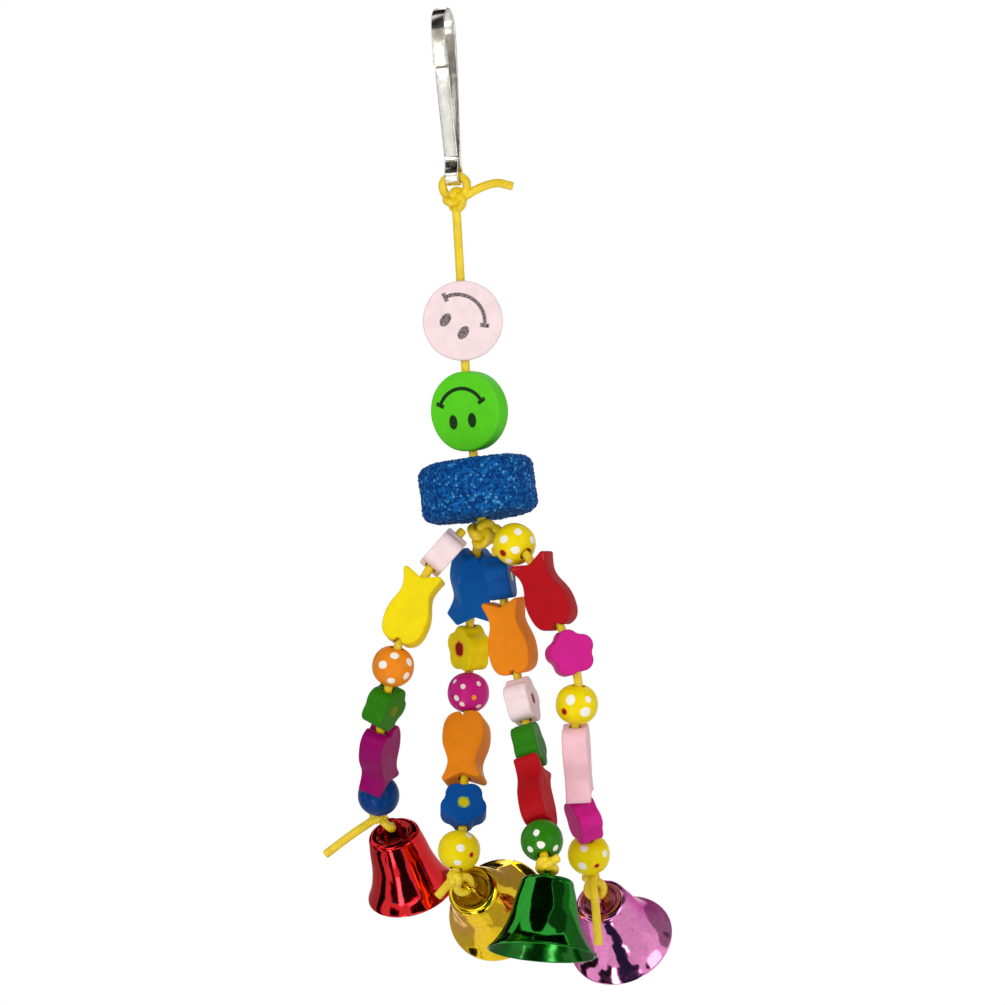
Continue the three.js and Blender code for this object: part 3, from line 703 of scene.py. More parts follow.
class Shader(Nodes):
    """A material whose patterns lie in its object's own millimetres."""

    def __init__(self, name):
        self.material = bpy.data.materials.new(name)
        self.material.use_nodes = True
        super().__init__(self.material.node_tree)
        self.surface = self.tree.nodes["Principled BSDF"]
        coordinates = self.node("TexCoord", {})
        self.at = self.vector("MULTIPLY", coordinates.outputs["Object"], (1 / MM,) * 3)

    def vector(self, operation, first, second=(0, 0, 0)):
        made = self.node("VectorMath", {0: first, 1: second}, operation=operation)
        return made.outputs["Value" if operation in ("LENGTH", "DISTANCE", "DOT_PRODUCT") else "Vector"]

    def along(self, axis):
        """How far a point lies along an axis."""
        return self.vector("DOT_PRODUCT", self.at, tuple(axis))

    def reach(self, axes):
        """How far a point lies from the origin, in the axes given as 1."""
        return self.vector("LENGTH", self.vector("MULTIPLY", self.at, axes))

    def fade(self, value, low, high, to_low=0.0, to_high=1.0):
        inputs = {"Value": value, "From Min": low, "From Max": high, "To Min": to_low, "To Max": to_high}
        return self.node("MapRange", inputs, interpolation_type="SMOOTHSTEP").outputs["Result"]

    def within(self, distance, radius, soft=0.12):
        """1 within a radius, with a soft edge."""
        return self.fade(distance, radius - soft, radius + soft, 1.0, 0.0)

    def mix(self, share, first, second):
        made = self.node("Mix", {"Factor": share}, data_type="RGBA")
        self.put(made.inputs[6], first)
        self.put(made.inputs[7], second)
        return made.outputs[2]

    def noise(self, scale, detail=2.0, at=None, stretch=None):
        at = at or self.at
        if stretch:
            at = self.vector("MULTIPLY", at, stretch)
        inputs = {"Vector": at, "Scale": scale, "Detail": detail}
        return self.node("TexNoise", inputs).outputs["Fac"]

    def bump(self, height, distance):
        """Bump from a height in 0 to 1 that stands for a distance in millimetres."""
        inputs = {"Height": height, "Distance": distance * MM, "Strength": 1.0}
        return self.node("Bump", inputs).outputs["Normal"]

    def finish(self, **sockets):
        for key, value in sockets.items():
            self.put(self.surface.inputs[key.replace("_", " ")], value)
        return self.material


def painted_wood(name, colour, seed, gloss, shine, marks):
    """Satin paint over sanded wood: faint grain, brush tone, rubbed edges and a bare bore."""
    s = Shader(name)
    drift = s.vector("ADD", s.at, (seed * 13.7, seed * 5.3, seed * 9.1))
    grain = s.noise(1.6, 3.0, drift, (1.0, 1.0, 0.16))
    cloud = s.noise(0.28, 2.0, drift)
    speck = s.noise(5.5, 2.0, drift)
    tone = s.mix(s.fade(cloud, 0.3, 0.7), shade(colour, 0.95), shade(colour, 1.02))
    tone = s.mix(s.fade(grain, 0.5, 0.78, 0.0, 0.22), tone, shade(colour, 0.76))
    pointed = s.node("NewGeometry", {}).outputs["Pointiness"]
    rubbed = s.math("MULTIPLY", s.fade(pointed, 0.53, 0.62, 0.0, 0.3), s.fade(speck, 0.35, 0.6))
    tone = s.mix(rubbed, tone, lighter(colour, 0.2))
    for paint_mark in marks:
        tone = paint_mark(s, tone)
    wood = s.mix(grain, shade(BARE_WOOD, 0.5), BARE_WOOD)
    tone = s.mix(s.within(s.reach((1, 1, 0)), BORE / 2 + 0.1, 0.08), tone, wood)
    height = s.math("ADD", s.math("MULTIPLY", grain, 0.7), s.math("MULTIPLY", speck, 0.3))
    return s.finish(
        Base_Color=tone,
        Roughness=s.fade(cloud, 0.25, 0.75, gloss - 0.05, gloss + 0.1),
        Normal=s.bump(height, 0.05),
        Specular_IOR_Level=shine,
    )


def centre_dot(colour, halo, side, radius):
    """A painted dot in the middle of one face of a flower."""
    def paint(s, tone):
        on_face = s.math("GREATER_THAN", s.along((0, side, 0)), FLOWER_THICKNESS / 2 - 0.4)
        wobble = s.math("ADD", s.reach((1, 0, 1)), s.fade(s.noise(0.9), 0.3, 0.7, -0.15, 0.15))
        if halo:
            ring = s.math("MULTIPLY", s.within(wobble, radius + HALO_WIDTH, 0.2), on_face)
            tone = s.mix(ring, tone, halo)
        return s.mix(s.math("MULTIPLY", s.within(wobble, radius), on_face), tone, colour)
    return paint


def bead_dots_and_highlights(node, place):
    """Dots and painted highlights as seen from the front, and the same ones again on the far side."""
    spots = []
    to_bead = place.to_3x3().inverted()
    radius = ROUND_DIAMETER / 2
    for right, below, size, *own in DOTS_AND_PAINTED_HIGHLIGHTS[node]:
        colour = own[0] if own else WHITE
        depth = math.sqrt(max(radius ** 2 - right ** 2 - below ** 2, 0.04))
        seen = to_bead @ (VIEW_RIGHT * right - VIEW_UP * below + VIEW_BACK * depth)
        spots.append((seen, size, colour))
        spots.append((-seen, size, colour))

    def paint(s, tone):
        wobble = s.fade(s.noise(0.5, 0.0), 0.3, 0.7, -0.12, 0.12)
        for spot, size, colour in spots:
            away = s.math("ADD", s.vector("DISTANCE", s.at, tuple(spot)), wobble)
            if colour == DARK_RED:
                tone = s.mix(s.within(away, size + 0.3, 0.2), tone, HALO)
            tone = s.mix(s.within(away, size), tone, colour)
        return tone
    return paint


def smile_print(turn, shift, worn_ink):
    """Dark ink on a disc's front: turn is the direction of the mouth's middle, from +X towards +Z."""
    mouth = Vector((math.cos(turn), 0, math.sin(turn)))
    aside = Vector((math.sin(turn), 0, -math.cos(turn)))

    def paint(s, tone):
        along = s.along(mouth)
        across = s.math("SUBTRACT", s.along(aside), shift)
        flat = s.node("CombineXYZ", {"X": across, "Y": along}).outputs["Vector"]
        from_centre = s.vector("LENGTH", s.vector("SUBTRACT", flat, (0, SMILE_DROP, 0)))
        round_off = s.math("ABSOLUTE", s.math("SUBTRACT", from_centre, SMILE_RADIUS))
        ahead = s.math("SUBTRACT", along, SMILE_DROP + SMILE_RADIUS * math.cos(SMILE_HALF_ANGLE))
        ink = s.math("MULTIPLY", s.within(round_off, SMILE_LINE / 2, 0.07), s.fade(ahead, -0.06, 0.06))
        for sign in (-1, 1):
            angle = sign * SMILE_HALF_ANGLE
            out = Vector((math.sin(angle), math.cos(angle), 0))
            end = out * SMILE_RADIUS + Vector((0, SMILE_DROP, 0))
            from_end = s.vector("SUBTRACT", flat, tuple(end))
            along_tick = s.math("ABSOLUTE", s.vector("DOT_PRODUCT", from_end, tuple(out)))
            over_tick = s.math("ABSOLUTE", s.vector("DOT_PRODUCT", from_end, (out.y, -out.x, 0)))
            in_length = s.within(along_tick, TICK_LENGTH / 2, 0.1)
            tick = s.math("MULTIPLY", in_length, s.within(over_tick, TICK_LINE / 2))
            ink = s.math("MAXIMUM", ink, tick)
            from_eye = s.vector("SUBTRACT", flat, (sign * EYE_APART, -EYE_RISE, 0))
            oval = s.vector("MULTIPLY", from_eye, (1 / EYE_SIZE[0], 1 / EYE_SIZE[1], 0))
            ink = s.math("MAXIMUM", ink, s.within(s.vector("LENGTH", oval), 1.0, 0.06))
        front = s.math("LESS_THAN", s.along((0, 1, 0)), 0.3 - DISC_THICKNESS / 2)
        worn = s.fade(s.noise(3.2, 3.0), 0.4, 0.6, worn_ink, 1.0)
        return s.mix(s.math("MULTIPLY", s.math("MULTIPLY", ink, front), worn), tone, INK)
    return paint


def grit_material():
    """Coarse mineral grains in two blues, some pale."""
    s = Shader("blue_grit")
    cells = s.node("TexVoronoi", {"Vector": s.at, "Scale": 1 / FINE_GRAIN, "Randomness": 1.0})
    draw = s.vector("DOT_PRODUCT", cells.outputs["Color"], (1, 0, 0))
    tone = s.mix(s.fade(draw, 0.1, 0.9), srgb(4, 60, 128), srgb(16, 104, 182))
    tone = s.mix(s.fade(draw, 0.9, 0.96, 0.0, 0.6), tone, srgb(96, 180, 220))
    tone = s.mix(s.fade(cells.outputs["Distance"], 0.45, 0.8, 0.0, 0.6), tone, srgb(2, 34, 84))
    fine = s.noise(3.2, 3.0)
    return s.finish(
        Base_Color=tone,
        Roughness=s.fade(draw, 0.0, 1.0, 0.78, 0.5),
        Normal=s.bump(fine, 0.25),
        Specular_IOR_Level=0.06,
    )


def cord_material():
    """Smooth yellow cord with soft cloudy tones and faint darker flecks."""
    s = Shader("yellow_cord")
    cloud = s.noise(0.35, 2.0)
    fine = s.noise(1.7, 2.0)
    tone = s.mix(s.fade(cloud, 0.35, 0.7), shade(CORD_YELLOW, 0.86), CORD_YELLOW)
    tone = s.mix(s.fade(fine, 0.5, 0.75, 0.0, 0.3), tone, srgb(232, 178, 8))
    return s.finish(
        Base_Color=tone,
        Roughness=s.fade(cloud, 0.3, 0.7, 0.34, 0.46),
        Normal=s.bump(fine, 0.05),
        Subsurface_Weight=0.12,
        Subsurface_Radius=(1.0, 0.6, 0.1),
        Subsurface_Scale=MM,
    )


def nickel_material(name, colour, polish):
    """Plated strip or wire with fine drawing marks and faint handling haze."""
    s = Shader(name)
    streak = s.noise(2.4, 2.0, None, (3.0, 3.0, 0.25))
    haze = s.noise(0.4, 3.0)
    tone = s.mix(s.fade(haze, 0.3, 0.75), shade(colour, 0.86), colour)
    return s.finish(
        Base_Color=tone,
        Metallic=1.0,
        Roughness=s.fade(haze, 0.3, 0.75, polish, polish + 0.1),
        Normal=s.bump(streak, 0.02),
    )


def lacquer_material(name, colour, edge_tone):
    """Mirror-bright lacquer over thin pressed metal, a little uneven, rougher inside, and darkened inside as
    painted shade.
    """
    s = Shader(name)
    dent = s.noise(0.16, 1.5)
    haze = s.noise(0.9, 3.0)
    tone = s.mix(s.fade(haze, 0.3, 0.7), shade(colour, 0.85), colour)
    out = s.vector("NORMALIZE", s.vector("MULTIPLY", s.at, (1, 1, 0)))
    normal = s.node("NewGeometry", {}).outputs["Normal"]
    to_bell = {"vector_type": "NORMAL", "convert_from": "WORLD", "convert_to": "OBJECT"}
    turned = s.node("VectorTransform", {"Vector": normal}, **to_bell).outputs["Vector"]
    inwards = s.math("LESS_THAN", s.vector("DOT_PRODUCT", out, turned), -0.05)
    # painted shade: faces turned in towards the bell's axis are darkened to half, as the shade inside the
    # bell
    tone = s.mix(inwards, tone, shade(colour, 0.5))
    return s.finish(
        Base_Color=tone,
        Metallic=1.0,
        Roughness=s.math("ADD", s.fade(haze, 0.3, 0.8, 0.07, 0.13), s.math("MULTIPLY", inwards, 0.14)),
        Normal=s.bump(dent, 0.25),
        Specular_Tint=edge_tone,
        Coat_Weight=0.35,
        Coat_Roughness=0.05,
    )


def floor_material():
    """Pale paper that fades into the white background far from the toy."""
    s = Shader("floor_pale")
    paper = s.noise(0.05, 3.0)
    s.finish(Base_Color=s.mix(paper, srgb(244, 244, 243), srgb(252, 252, 252)), Roughness=0.8)
    far = s.fade(s.reach((1, 1, 0)), FLOOR_SIZE * 0.3, FLOOR_SIZE * 0.95, 0.6, 1.0)
    white = s.node("Emission", {"Strength": 1.0}).outputs[0]
    lit = s.surface.outputs[0]
    faded = s.node("MixShader", {0: far, 1: lit, 2: white}).outputs[0]
    s.put(s.tree.nodes["Material Output"].inputs["Surface"], s.shown(faded, lit))
    return s.material


# Camera, light and floor

def make_camera():
    right = (PIXELS / 2 - CROWN_PIXEL[0]) / PIXELS_PER_MM
    below = (PIXELS / 2 - CROWN_PIXEL[1]) / PIXELS_PER_MM
    aim = VIEW_RIGHT * right - VIEW_UP * below
    data = bpy.data.cameras.new("camera")
    data.sensor_width = SENSOR
    data.lens = SENSOR * CAMERA_DISTANCE * PIXELS_PER_MM / PIXELS
    data.clip_end = CLIP_END
    camera = add_object("camera", data)
    camera.matrix_world = in_metres(placed(VIEW_RIGHT, VIEW_UP, VIEW_BACK, aim + VIEW_BACK * CAMERA_DISTANCE))
    scene.camera = camera


def make_world():
    """White where it shows or is mirrored, and dimmer as light."""
    world = bpy.data.worlds.new("studio")
    world.use_nodes = True
    scene.world = world
    nodes = Nodes(world.node_tree)
    white = {"Color": (1, 1, 1, 1)}
    seen = nodes.node("Background", white).outputs[0]
    ambient = nodes.node("Background", {**white, "Strength": AMBIENT}).outputs[0]
    nodes.put(nodes.tree.nodes["World Output"].inputs["Surface"], nodes.shown(seen, ambient))


def sphere_patch(azimuths, elevations):
    """Part of a sphere round the bells: azimuth from the front to the right, elevation upwards."""
    points = []
    for i in range(PANEL_STEPS + 1):
        azimuth = math.radians(azimuths[0] + (azimuths[1] - azimuths[0]) * i / PANEL_STEPS)
        for k in range(PANEL_STEPS + 1):
            elevation = math.radians(elevations[0] + (elevations[1] - elevations[0]) * k / PANEL_STEPS)
            flat = math.cos(elevation)
            way = Vector((flat * math.sin(azimuth), -flat * math.cos(azimuth), math.sin(elevation)))
            points.append(PANEL_MIDDLE + way * PANEL_RADIUS)
    row = PANEL_STEPS + 1
    starts = [i * row + k for i in range(PANEL_STEPS) for k in range(PANEL_STEPS)]
    return Form().add(points, [[first, first + 1, first + row + 1, first + row] for first in starts])


def make_stage():
    """A pale floor well below the toy, and panels that only mirrors see."""
    rings = lathe_rings([(1, -FLOOR_DROP), (FLOOR_SIZE, -FLOOR_DROP)], 64)
    floor = add_object("floor", Form().rings(rings, capped=False).mesh("floor"))
    floor.data.materials.append(floor_material())
    for name, (azimuths, elevations, light) in PANELS.items():
        panel = add_object(name, sphere_patch(azimuths, elevations).mesh(name))
        # painted reflections: each panel glows with its own light, and only mirrors see it
        reflection_glow = Shader(name + "_cloth").finish(
            Base_Color=(0, 0, 0, 1),
            Specular_IOR_Level=0.0,
            Emission_Color=(*light, 1),
            Emission_Strength=1.0,
        )
        panel.data.materials.append(reflection_glow)
        panel.visible_camera = False
        panel.visible_diffuse = False
        panel.visible_shadow = False


def make_lamps():
    for name, (at, aim, size, power) in LAMPS.items():
        data = bpy.data.lights.new(name, "AREA")
        data.shape = "DISK"
        data.size = size
        data.energy = power
        lamp = add_object(name, data)
        lamp.location = at
        lamp.rotation_euler = (Vector(aim) - Vector(at)).to_track_quat("-Z", "Y").to_euler()


# Cords

def straight_through(node):
    """Where the cord enters and leaves a threaded piece's straight stretch, from the top down."""
    middle, down = bore_down(node)
    half = down * STRAIGHT_HALF[kind_of(node)]
    return [middle - half, middle + half]


def make_cord(node, points, material):
    route = smooth_route(points, CORD_STEPS)
    form = Form().rings(tube_rings(route, CORD / 2, TUBE_SIDES))
    cord = dress(node, form.mesh(node), Matrix.Identity(4), material)


def make_cords(material):
    points = [Vector((0, 0, -TOP_KNOT_DROP))]
    for node in ("pink_disc", "green_disc", "grit_block"):
        points += straight_through(node)
    points.append(middle_of("gather_knot"))
    make_cord("main_cord", points, material)
    for name in STRANDS:
        points = [joint_place(f"{name}_strand_swing")[0]]
        for node in strand_beads(name):
            points += straight_through(node)
        points.append(tie_middle(name))
        make_cord(f"{name}_strand_cord", points, material)


# Knots

def add_tube(form, route, wire, sides=TUBE_SIDES, closed=False):
    form.rings(tube_rings(route, wire / 2, sides, closed), closed=closed)


def add_knot(form, diameter, wire, way, count=72):
    """A closed knot that winds twice round a ring while it crosses over three times."""
    reach = diameter / 2 - wire / 2
    ring = reach * KNOT_RING
    over = reach - ring
    route = []
    for i in range(count):
        turn = 2 * math.pi * i / count
        out = ring + over * math.cos(3 * turn)
        lift = over * KNOT_LIFT * math.sin(3 * turn)
        route.append(way @ Vector((out * math.cos(2 * turn), out * math.sin(2 * turn), lift)))
    add_tube(form, route, wire, closed=True)


def add_loop(form, middle, across, down, radius, drawn=0.0, wire=CORD, sides=TUBE_SIDES, count=40):
    """A closed ring in the plane of across and down, drawn out downwards."""
    route = []
    for i in range(count):
        angle = 2 * math.pi * (i + 0.5) / count
        lower = drawn if math.sin(angle) > 0 else 0.0
        route.append(middle + across * radius * math.cos(angle) + down * (radius * math.sin(angle) + lower))
    add_tube(form, route, wire, sides, closed=True)


def make_gather_knot(material):
    form = Form()
    tilt = Matrix.Rotation(math.radians(64), 3, "X") @ Matrix.Rotation(0.4, 3, "Z")
    add_knot(form, GATHER_KNOT, KNOT_CORD, tilt)
    lean = Matrix.Rotation(math.radians(-38), 3, "Y") @ Matrix.Rotation(math.radians(80), 3, "X")
    add_knot(form, GATHER_INNER, KNOT_CORD, lean)
    place = Matrix.Translation(middle_of("gather_knot"))
    dress("gather_knot", form.mesh("gather_knot"), place, material)


def make_top_tie(material):
    form = Form()
    tilt = Matrix.Rotation(math.radians(70), 3, "X") @ Matrix.Rotation(0.9, 3, "Z")
    add_knot(form, TOP_KNOT, KNOT_CORD, tilt)
    add_tube(form, smooth_route([ORIGIN, *TOP_TAIL], CORD_STEPS), CORD)
    through = Vector((math.cos(HOOK_TURN), -math.sin(HOOK_TURN), 0))
    in_eye = EYE_DROP + EYE_RADIUS - STRIP_THICKNESS / 2 - GAP - CORD / 2
    under_eye = EYE_DROP + EYE_RADIUS + STRIP_THICKNESS / 2 + GAP + CORD / 2
    half_side = STRIP_WIDTH / 2 + GAP + CORD / 2
    rise = TOP_KNOT_DROP - in_eye
    neck = TOP_KNOT_DROP - under_eye
    climb = [  # out from the knot's middle and up from it
        (0.5, 0.4),
        (half_side * 0.8, neck * 0.75),
        (half_side, (neck + rise) / 2),
        (half_side * 0.62, rise - 0.35),
    ]
    loop = [*climb, (0.0, rise), *((-out, up) for out, up in reversed(climb))]
    route = [through * out + UP * up for out, up in loop]
    add_tube(form, smooth_route(route, CORD_STEPS), CORD)
    dress("top_tie", form.mesh("top_tie"), Matrix.Translation(UP * -TOP_KNOT_DROP), material)


def make_bell_tie(name, material):
    form = Form()
    middle = tie_middle(name)
    hinge, across = joint_place(f"{name}_bell_swing")
    down = (hinge - middle).normalized()
    over_crown = bell_place(name).to_3x3()
    add_knot(form, TIE_WINDING, TIE_CORD, over_crown)
    add_loop(form, down * LOOP_DROP, across, down, ARCH_RADIUS)
    add_tube(form, smooth_route([ORIGIN, *TIE_TAILS[name]], CORD_STEPS), CORD)
    node = f"{name}_strand_tie"
    dress(node, form.mesh(node), Matrix.Translation(middle), material)


# Hook

def strip_rings(line, thickness, width, corner, steps=4):
    """A strip with rounded edges along a line in XZ, standing across Y. Its width depends on the point."""
    rings = []
    last = len(line) - 1
    for i, point in enumerate(line):
        along = (line[min(i + 1, last)] - line[max(i - 1, 0)]).normalized()
        normal = Vector((-along.y, along.x))
        section = []
        for quarter in range(4):
            out = 1 if quarter in (0, 3) else -1
            side = 1 if quarter in (0, 1) else -1
            for k in range(steps + 1):
                angle = math.pi / 2 * (quarter + k / steps)
                off = out * (thickness / 2 - corner) + corner * math.cos(angle)
                beside = side * (width(point) / 2 - corner) + corner * math.sin(angle)
                section.append((point.x + normal.x * off, beside, point.y + normal.y * off))
        rings.append(section)
    return rings


def hook_line():
    """The strip's middle, from the nose over the crown and round the eye to the gate's foot."""
    join_x = EYE_RADIUS * math.sin(EYE_OPENING)
    join_z = -EYE_DROP + EYE_RADIUS * math.cos(EYE_OPENING)
    line = [Vector((CROWN_RADIUS, z)) for z in (NOSE_END, NOSE_END / 2 + CROWN_MIDDLE / 2, CROWN_MIDDLE)]
    line += arc((0, CROWN_MIDDLE), CROWN_RADIUS, 0, math.pi, 28)
    waist = (-HOOK_WAIST, -WAIST_DROP)
    first = (-CROWN_RADIUS, -WAIST_DROP * 0.4)
    second = (-SPINE_OUT, -WAIST_DROP * 0.75)
    line += bezier((-CROWN_RADIUS, CROWN_MIDDLE), first, second, waist, 30)
    line += bend(waist, (-HOOK_WAIST * 0.95, join_z * 0.97), (-join_x, join_z), 10)
    begin = math.pi / 2 + EYE_OPENING
    line += arc((0, -EYE_DROP), EYE_RADIUS, begin, 2.5 * math.pi - EYE_OPENING, 32)
    line += bend((join_x, join_z), (HOOK_WAIST * 0.95, join_z * 0.97), (HOOK_WAIST, -WAIST_DROP), 10)
    return line


def hook_place():
    across = Vector((-math.sin(HOOK_TURN), -math.cos(HOOK_TURN), 0))
    beside = Vector((math.cos(HOOK_TURN), -math.sin(HOOK_TURN), 0))
    return placed(across, beside, UP, ORIGIN)


def cheek_outline():
    """One cheek of the nose's channel, rounded at its inner corners."""
    top = NOSE_END + CHEEK_HEIGHT
    inner = CROWN_RADIUS - CHEEK_DEPTH
    outline = [Vector((CROWN_RADIUS, NOSE_END)), Vector((CROWN_RADIUS, top))]
    upper = (CROWN_RADIUS - CHEEK_DEPTH * 0.35, top)
    outline += bend(upper, (inner, top), (inner, top - CHEEK_DEPTH * 0.7), 6)
    lower = (CROWN_RADIUS - CHEEK_DEPTH * 0.6, NOSE_END)
    outline += bend((inner, NOSE_END + CHEEK_DEPTH * 0.5), (inner, NOSE_END), lower, 6)
    return outline


def make_hook(material):
    form = Form().rings(strip_rings(hook_line(), STRIP_THICKNESS, lambda point: STRIP_WIDTH, STRIP_CORNER))
    cheek = slab(cheek_outline(), CHEEK_THICKNESS, CHEEK_EDGE)
    for side in (-1, 1):
        offset = Vector((0, side * (STRIP_WIDTH - CHEEK_THICKNESS) / 2, 0))
        form.add([vertex + offset for vertex in cheek.vertices], cheek.faces)
    dress("hook_frame", form.mesh("hook_frame"), hook_place(), material)


def make_gate(material):
    """The strip's free end, full width up to a shoulder under the nose and a narrow tongue inside it."""
    tip_x = CROWN_RADIUS - STRIP_THICKNESS / 2 - GAP - GATE_THICKNESS / 2
    tip = (tip_x, NOSE_END + GATE_TUCK)
    foot = (HOOK_WAIST, -WAIST_DROP + GAP)
    first = (SPINE_OUT, foot[1] * 0.75)
    second = (tip_x * 1.05, foot[1] * 0.55)
    line = [Vector(foot), *bezier(foot, first, second, tip, 48)]
    tongue = STRIP_WIDTH - 2 * (CHEEK_THICKNESS + GAP)
    shoulder = NOSE_END - GAP

    def width(point):
        return STRIP_WIDTH if point.y < shoulder else tongue

    form = Form().rings(strip_rings(line, GATE_THICKNESS, width, GATE_CORNER))
    dress("hook_gate", form.mesh("hook_gate"), hook_place(), material)


# Wooden pieces

def bored(form, name, length):
    """A form's mesh with the cord's bore cut through it."""
    return cut_away(form.mesh(name), [rod(BORE / 2, length)])


def fish_mesh():
    """A fish with its open mouth at the top and a notched tail."""
    top = FISH_LENGTH / 2
    belly = FISH_WIDTH / 2 - DRAWN_IN
    waist = FISH_WAIST / 2
    tail = FISH_TAIL / 2 - DRAWN_IN
    lip = MOUTH_WIDTH / 2
    half = bend((0.2, top - MOUTH_DEPTH), (lip * 0.5, top - MOUTH_DEPTH * 0.6), (lip * 0.8, top - 0.25), 5)
    half += bend(half[-1], (lip, top), (lip * 1.35, top - 0.02), 4)
    half += bezier(half[-1], (belly * 0.82, top * 0.98), (belly, top * 0.75), (belly, top * 0.34), 16)
    half += bezier(half[-1], (belly, -top * 0.04), (waist, -top * 0.2), (waist, -top * 0.46), 14)
    half += bend(half[-1], (waist, -top * 0.62), (tail, -top + TAIL_ROUNDING), 8)
    half += bend(half[-1], (tail, -top), (tail - TAIL_ROUNDING, -top), 6)
    half += bend(half[-1], (tail * 0.4, -top + TAIL_NOTCH * 0.55), (0.3, -top + TAIL_NOTCH), 8)
    outline = half[::-1] + [Vector((-point.x, point.y)) for point in half]
    return bored(slab(outline, FISH_THICKNESS, PAINTED_EDGE), "fish", FISH_LENGTH * 2)


def flower_mesh():
    """Five round petals, one of them at the top, with the valleys between them eased."""
    middle = PETAL_REACH - PETAL_RADIUS - DRAWN_IN
    half_petal = math.pi / PETALS
    outline = []
    for petal in range(PETALS):
        turn = math.pi / 2 + petal * 2 * half_petal
        centre = (middle * math.cos(turn), middle * math.sin(turn))
        sweep = half_petal + math.asin(min(middle * math.sin(half_petal) / PETAL_RADIUS, 1.0))
        outline += arc(centre, PETAL_RADIUS, turn - sweep, turn + sweep, 22)[1:-2]
    return bored(slab(outline, FLOWER_THICKNESS, PAINTED_EDGE), "flower", PETAL_REACH * 4)


def disc_mesh():
    outline = arc((0, 0), DISC_DIAMETER / 2, 0, 2 * math.pi, 96)
    return bored(slab(outline, DISC_THICKNESS, PAINTED_EDGE), "disc", DISC_DIAMETER * 2)


def round_mesh():
    """A slightly squared ball with an eased bore."""
    half = ROUND_LENGTH / 2
    radius = ROUND_DIAMETER / 2 - DRAWN_IN
    rim = BORE / 2
    square = 0.92
    top_angle = math.radians(71)
    rise = half / math.sin(top_angle) ** square
    eased = [(rim + 0.08, half - 0.2), (rim + 0.3, half - 0.03)]
    profile = [(rim, -half + 0.5), (rim, half - 0.5), *eased]
    count = 36
    for i in range(count + 1):
        angle = top_angle * (1 - 2 * i / count)
        height = rise * math.copysign(abs(math.sin(angle)) ** square, angle)
        profile.append((radius * math.cos(angle) ** square, height))
    profile += [(out, -height) for out, height in reversed(eased)]
    return Form().rings(lathe_rings(profile, 64), closed=True).mesh("round_bead")


def grainy(point):
    """A point of the block's smooth surface, moved out or in by the grain that it lies on."""
    flat = Vector((point.x, point.y, 0))
    outwards = flat.normalized() * min(flat.length / (BLOCK_DIAMETER / 2), 1) ** 3
    outwards += UP * math.copysign((abs(point.z) / (BLOCK_HEIGHT / 2)) ** 3, point.z)
    distance = noise.voronoi(point / GRAIN)[0][0]
    lump = noise.noise(point * LUMP_SCALE) * LUMP_RISE
    height = GRAIN_RISE - GRAIN_FALL * min(distance, GRAIN_EDGE) + lump
    return point + outwards.normalized() * height


def block_mesh():
    """A short round-edged cylinder pressed from coarse grains."""
    radius = BLOCK_DIAMETER / 2
    half = BLOCK_HEIGHT / 2
    rim = BORE / 2
    face = radius - BLOCK_EDGE
    wall = half - BLOCK_EDGE
    flat_steps = int((face - rim) / GRAIN_STEP)
    wall_steps = int(2 * wall / GRAIN_STEP)
    corner = [(rim + 0.2, half - 0.4)]
    corner += [(rim + 0.4 + (face - rim - 0.4) * i / flat_steps, half) for i in range(flat_steps)]
    corner += [(face, half), *arc((face, wall), BLOCK_EDGE, math.pi / 2, 0, 13)]
    side = [(radius, wall * (1 - 2 * i / wall_steps)) for i in range(1, wall_steps)]
    profile = corner + side + [(r, -z) for r, z in reversed(corner)]
    rings = [[grainy(Vector(point)) for point in ring] for ring in lathe_rings(profile, BLOCK_SIDES)]
    return Form().rings(rings, closed=True).mesh("grit_block", 180)


def make_discs_and_block():
    mesh = disc_mesh()
    for seed, (node, colour) in enumerate(DISC_PAINT.items(), DISC_SEED):
        marks = [smile_print(*SMILES[node])]
        material = painted_wood(node + "_paint", PAINT[colour], seed, *FLAT_FINISH, marks)
        form = hand_made(mesh, seed, DISC_WOBBLE)
        dress(node, form, bead_place(node, False), material)
    dress("grit_block", block_mesh(), bead_place("grit_block", True), grit_material())


def make_beads():
    meshes = {"fish": fish_mesh(), "flower": flower_mesh(), "bead": round_mesh()}
    nodes = [node for name in STRANDS for node in strand_beads(name)]
    for seed, node in enumerate(nodes, 1):
        kind = kind_of(node)
        colour = paint_of(node)
        place = bead_place(node, kind == "bead")
        marks = []
        if node in DOTS_AND_PAINTED_HIGHLIGHTS:
            marks.append(bead_dots_and_highlights(node, place))
        if node in CENTRES:
            marks.append(centre_dot(*CENTRES[node]))
        finish = ROUND_FINISH if kind == "bead" else FLAT_FINISH
        tone = OWN_TONES_AND_PAINTED_LIGHT.get(node, PAINT[colour])
        material = painted_wood(node + "_paint", tone, seed, *finish, marks)
        dress(node, hand_made(meshes[kind], seed, BEAD_WOBBLE), place, material)


# Bells

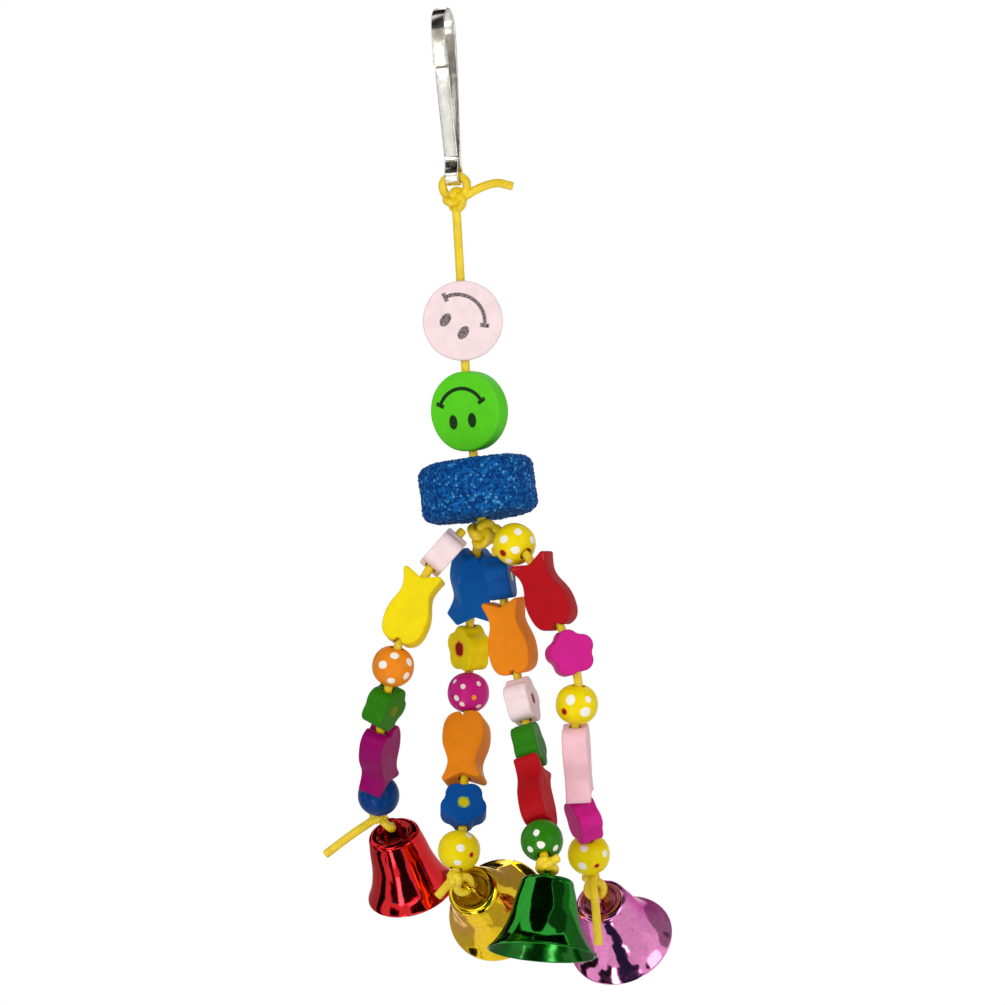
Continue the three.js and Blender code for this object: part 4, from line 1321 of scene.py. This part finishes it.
def bell_mesh(mouth):
    """A pressed bell with its crown at the origin, a raised ring round the crown and a rolled lip."""
    top = CROWN_DIAMETER / 2
    lip = mouth / 2
    flare = lip - top
    rim = top - SHOULDER
    rim_low = CROWN_RING - SHOULDER
    points = [(top, rim_low), *((top + flare * out, -BELL_HEIGHT * down) for out, down in BELL_CURVE)]
    outside = [(point.x, point.y) for point in smooth_route(points, 12)]
    floor = Vector((CROWN_FLOOR, -CROWN_SINK))
    rise = bezier(floor, (CROWN_FLOOR + 0.7, -CROWN_SINK), (rim - 0.85, CROWN_RING), (rim, CROWN_RING), 8)
    roll = arc((rim, rim_low), SHOULDER, math.pi / 2, 0, 10)[:-1]
    crown = [(0, -CROWN_SINK), *((point.x, point.y) for point in [floor, *rise, *roll])]
    rolled = [(lip + out, -BELL_HEIGHT - below) for out, below in LIP_ROLL]
    inside = [(radius - BELL_WALL, height) for radius, height in outside[4:]]
    ceiling = -CROWN_SINK - BELL_WALL
    under = [(top - 2 * BELL_WALL, ceiling * 1.3), (top * 0.5, ceiling), (0, ceiling)]
    profile = crown + outside + rolled + inside[::-1] + under
    form = Form().rings(lathe_rings(profile, 96), capped=False)
    holes = [rod(STAPLE_HOLE, BELL_WALL * 10, Vector((x, 0, 0)), 20) for x in (-ARCH_RADIUS, ARCH_RADIUS)]
    return cut_away(form.mesh("bell", BELL_SHARP), holes, BELL_SHARP)


def make_bell(name, material):
    place = bell_place(name)
    crown = place @ Matrix.Translation(UP * -STAPLE_HEIGHT)
    dress(f"{name}_bell", bell_mesh(BELL_MOUTH[name]), crown, material)
    node = f"{name}_bell_staple"
    form = Form()
    add_loop(form, ORIGIN, Vector((1, 0, 0)), -UP, ARCH_RADIUS, STAPLE_DRAWN, STAPLE_WIRE)
    dress(node, form.mesh(node), place, material)


def make_clapper(name, material):
    """A ball on a wire whose eye hangs in the foot of the staple."""
    node = f"{name}_bell_clapper"
    form = Form()
    eye = STAPLE_WIRE / 2 + GAP + CLAPPER_WIRE / 2
    add_loop(form, ORIGIN, Vector((0, 1, 0)), -UP, eye, 0.0, CLAPPER_WIRE, CLAPPER_SIDES, 28)
    add_tube(form, [UP * -eye, UP * (WIRE_END - CLAPPER_LENGTH)], CLAPPER_WIRE, CLAPPER_SIDES)
    radius = CLAPPER_BALL / 2
    angles = [math.pi * (i / 24 - 0.5) for i in range(25)]
    ball = [(radius * math.cos(a), radius * math.sin(a) - CLAPPER_LENGTH) for a in angles]
    form.rings(lathe_rings(ball, 32), capped=False)
    hang = bell_place(name) @ Matrix.Translation(UP * (-STAPLE_DRAWN - ARCH_RADIUS))
    dress(node, form.mesh(node), hang, material)


scene.view_settings.view_transform = "Standard"
make_camera()
make_world()
make_stage()
make_lamps()

cord_yellow = cord_material()
make_cords(cord_yellow)
make_gather_knot(cord_yellow)
make_top_tie(cord_yellow)
nickel = nickel_material("nickel_plate", *NICKEL)
make_hook(nickel)
make_gate(nickel)
noise.seed_set(WOBBLE_SEED)
make_discs_and_block()
make_beads()
steel_wire = nickel_material("steel_wire", *STEEL)
for strand in STRANDS:
    make_bell_tie(strand, cord_yellow)
    make_bell(strand, lacquer_material(f"lacquer_{strand}", LACQUER[strand], EDGE_TONES[strand]))
    make_clapper(strand, steel_wire)
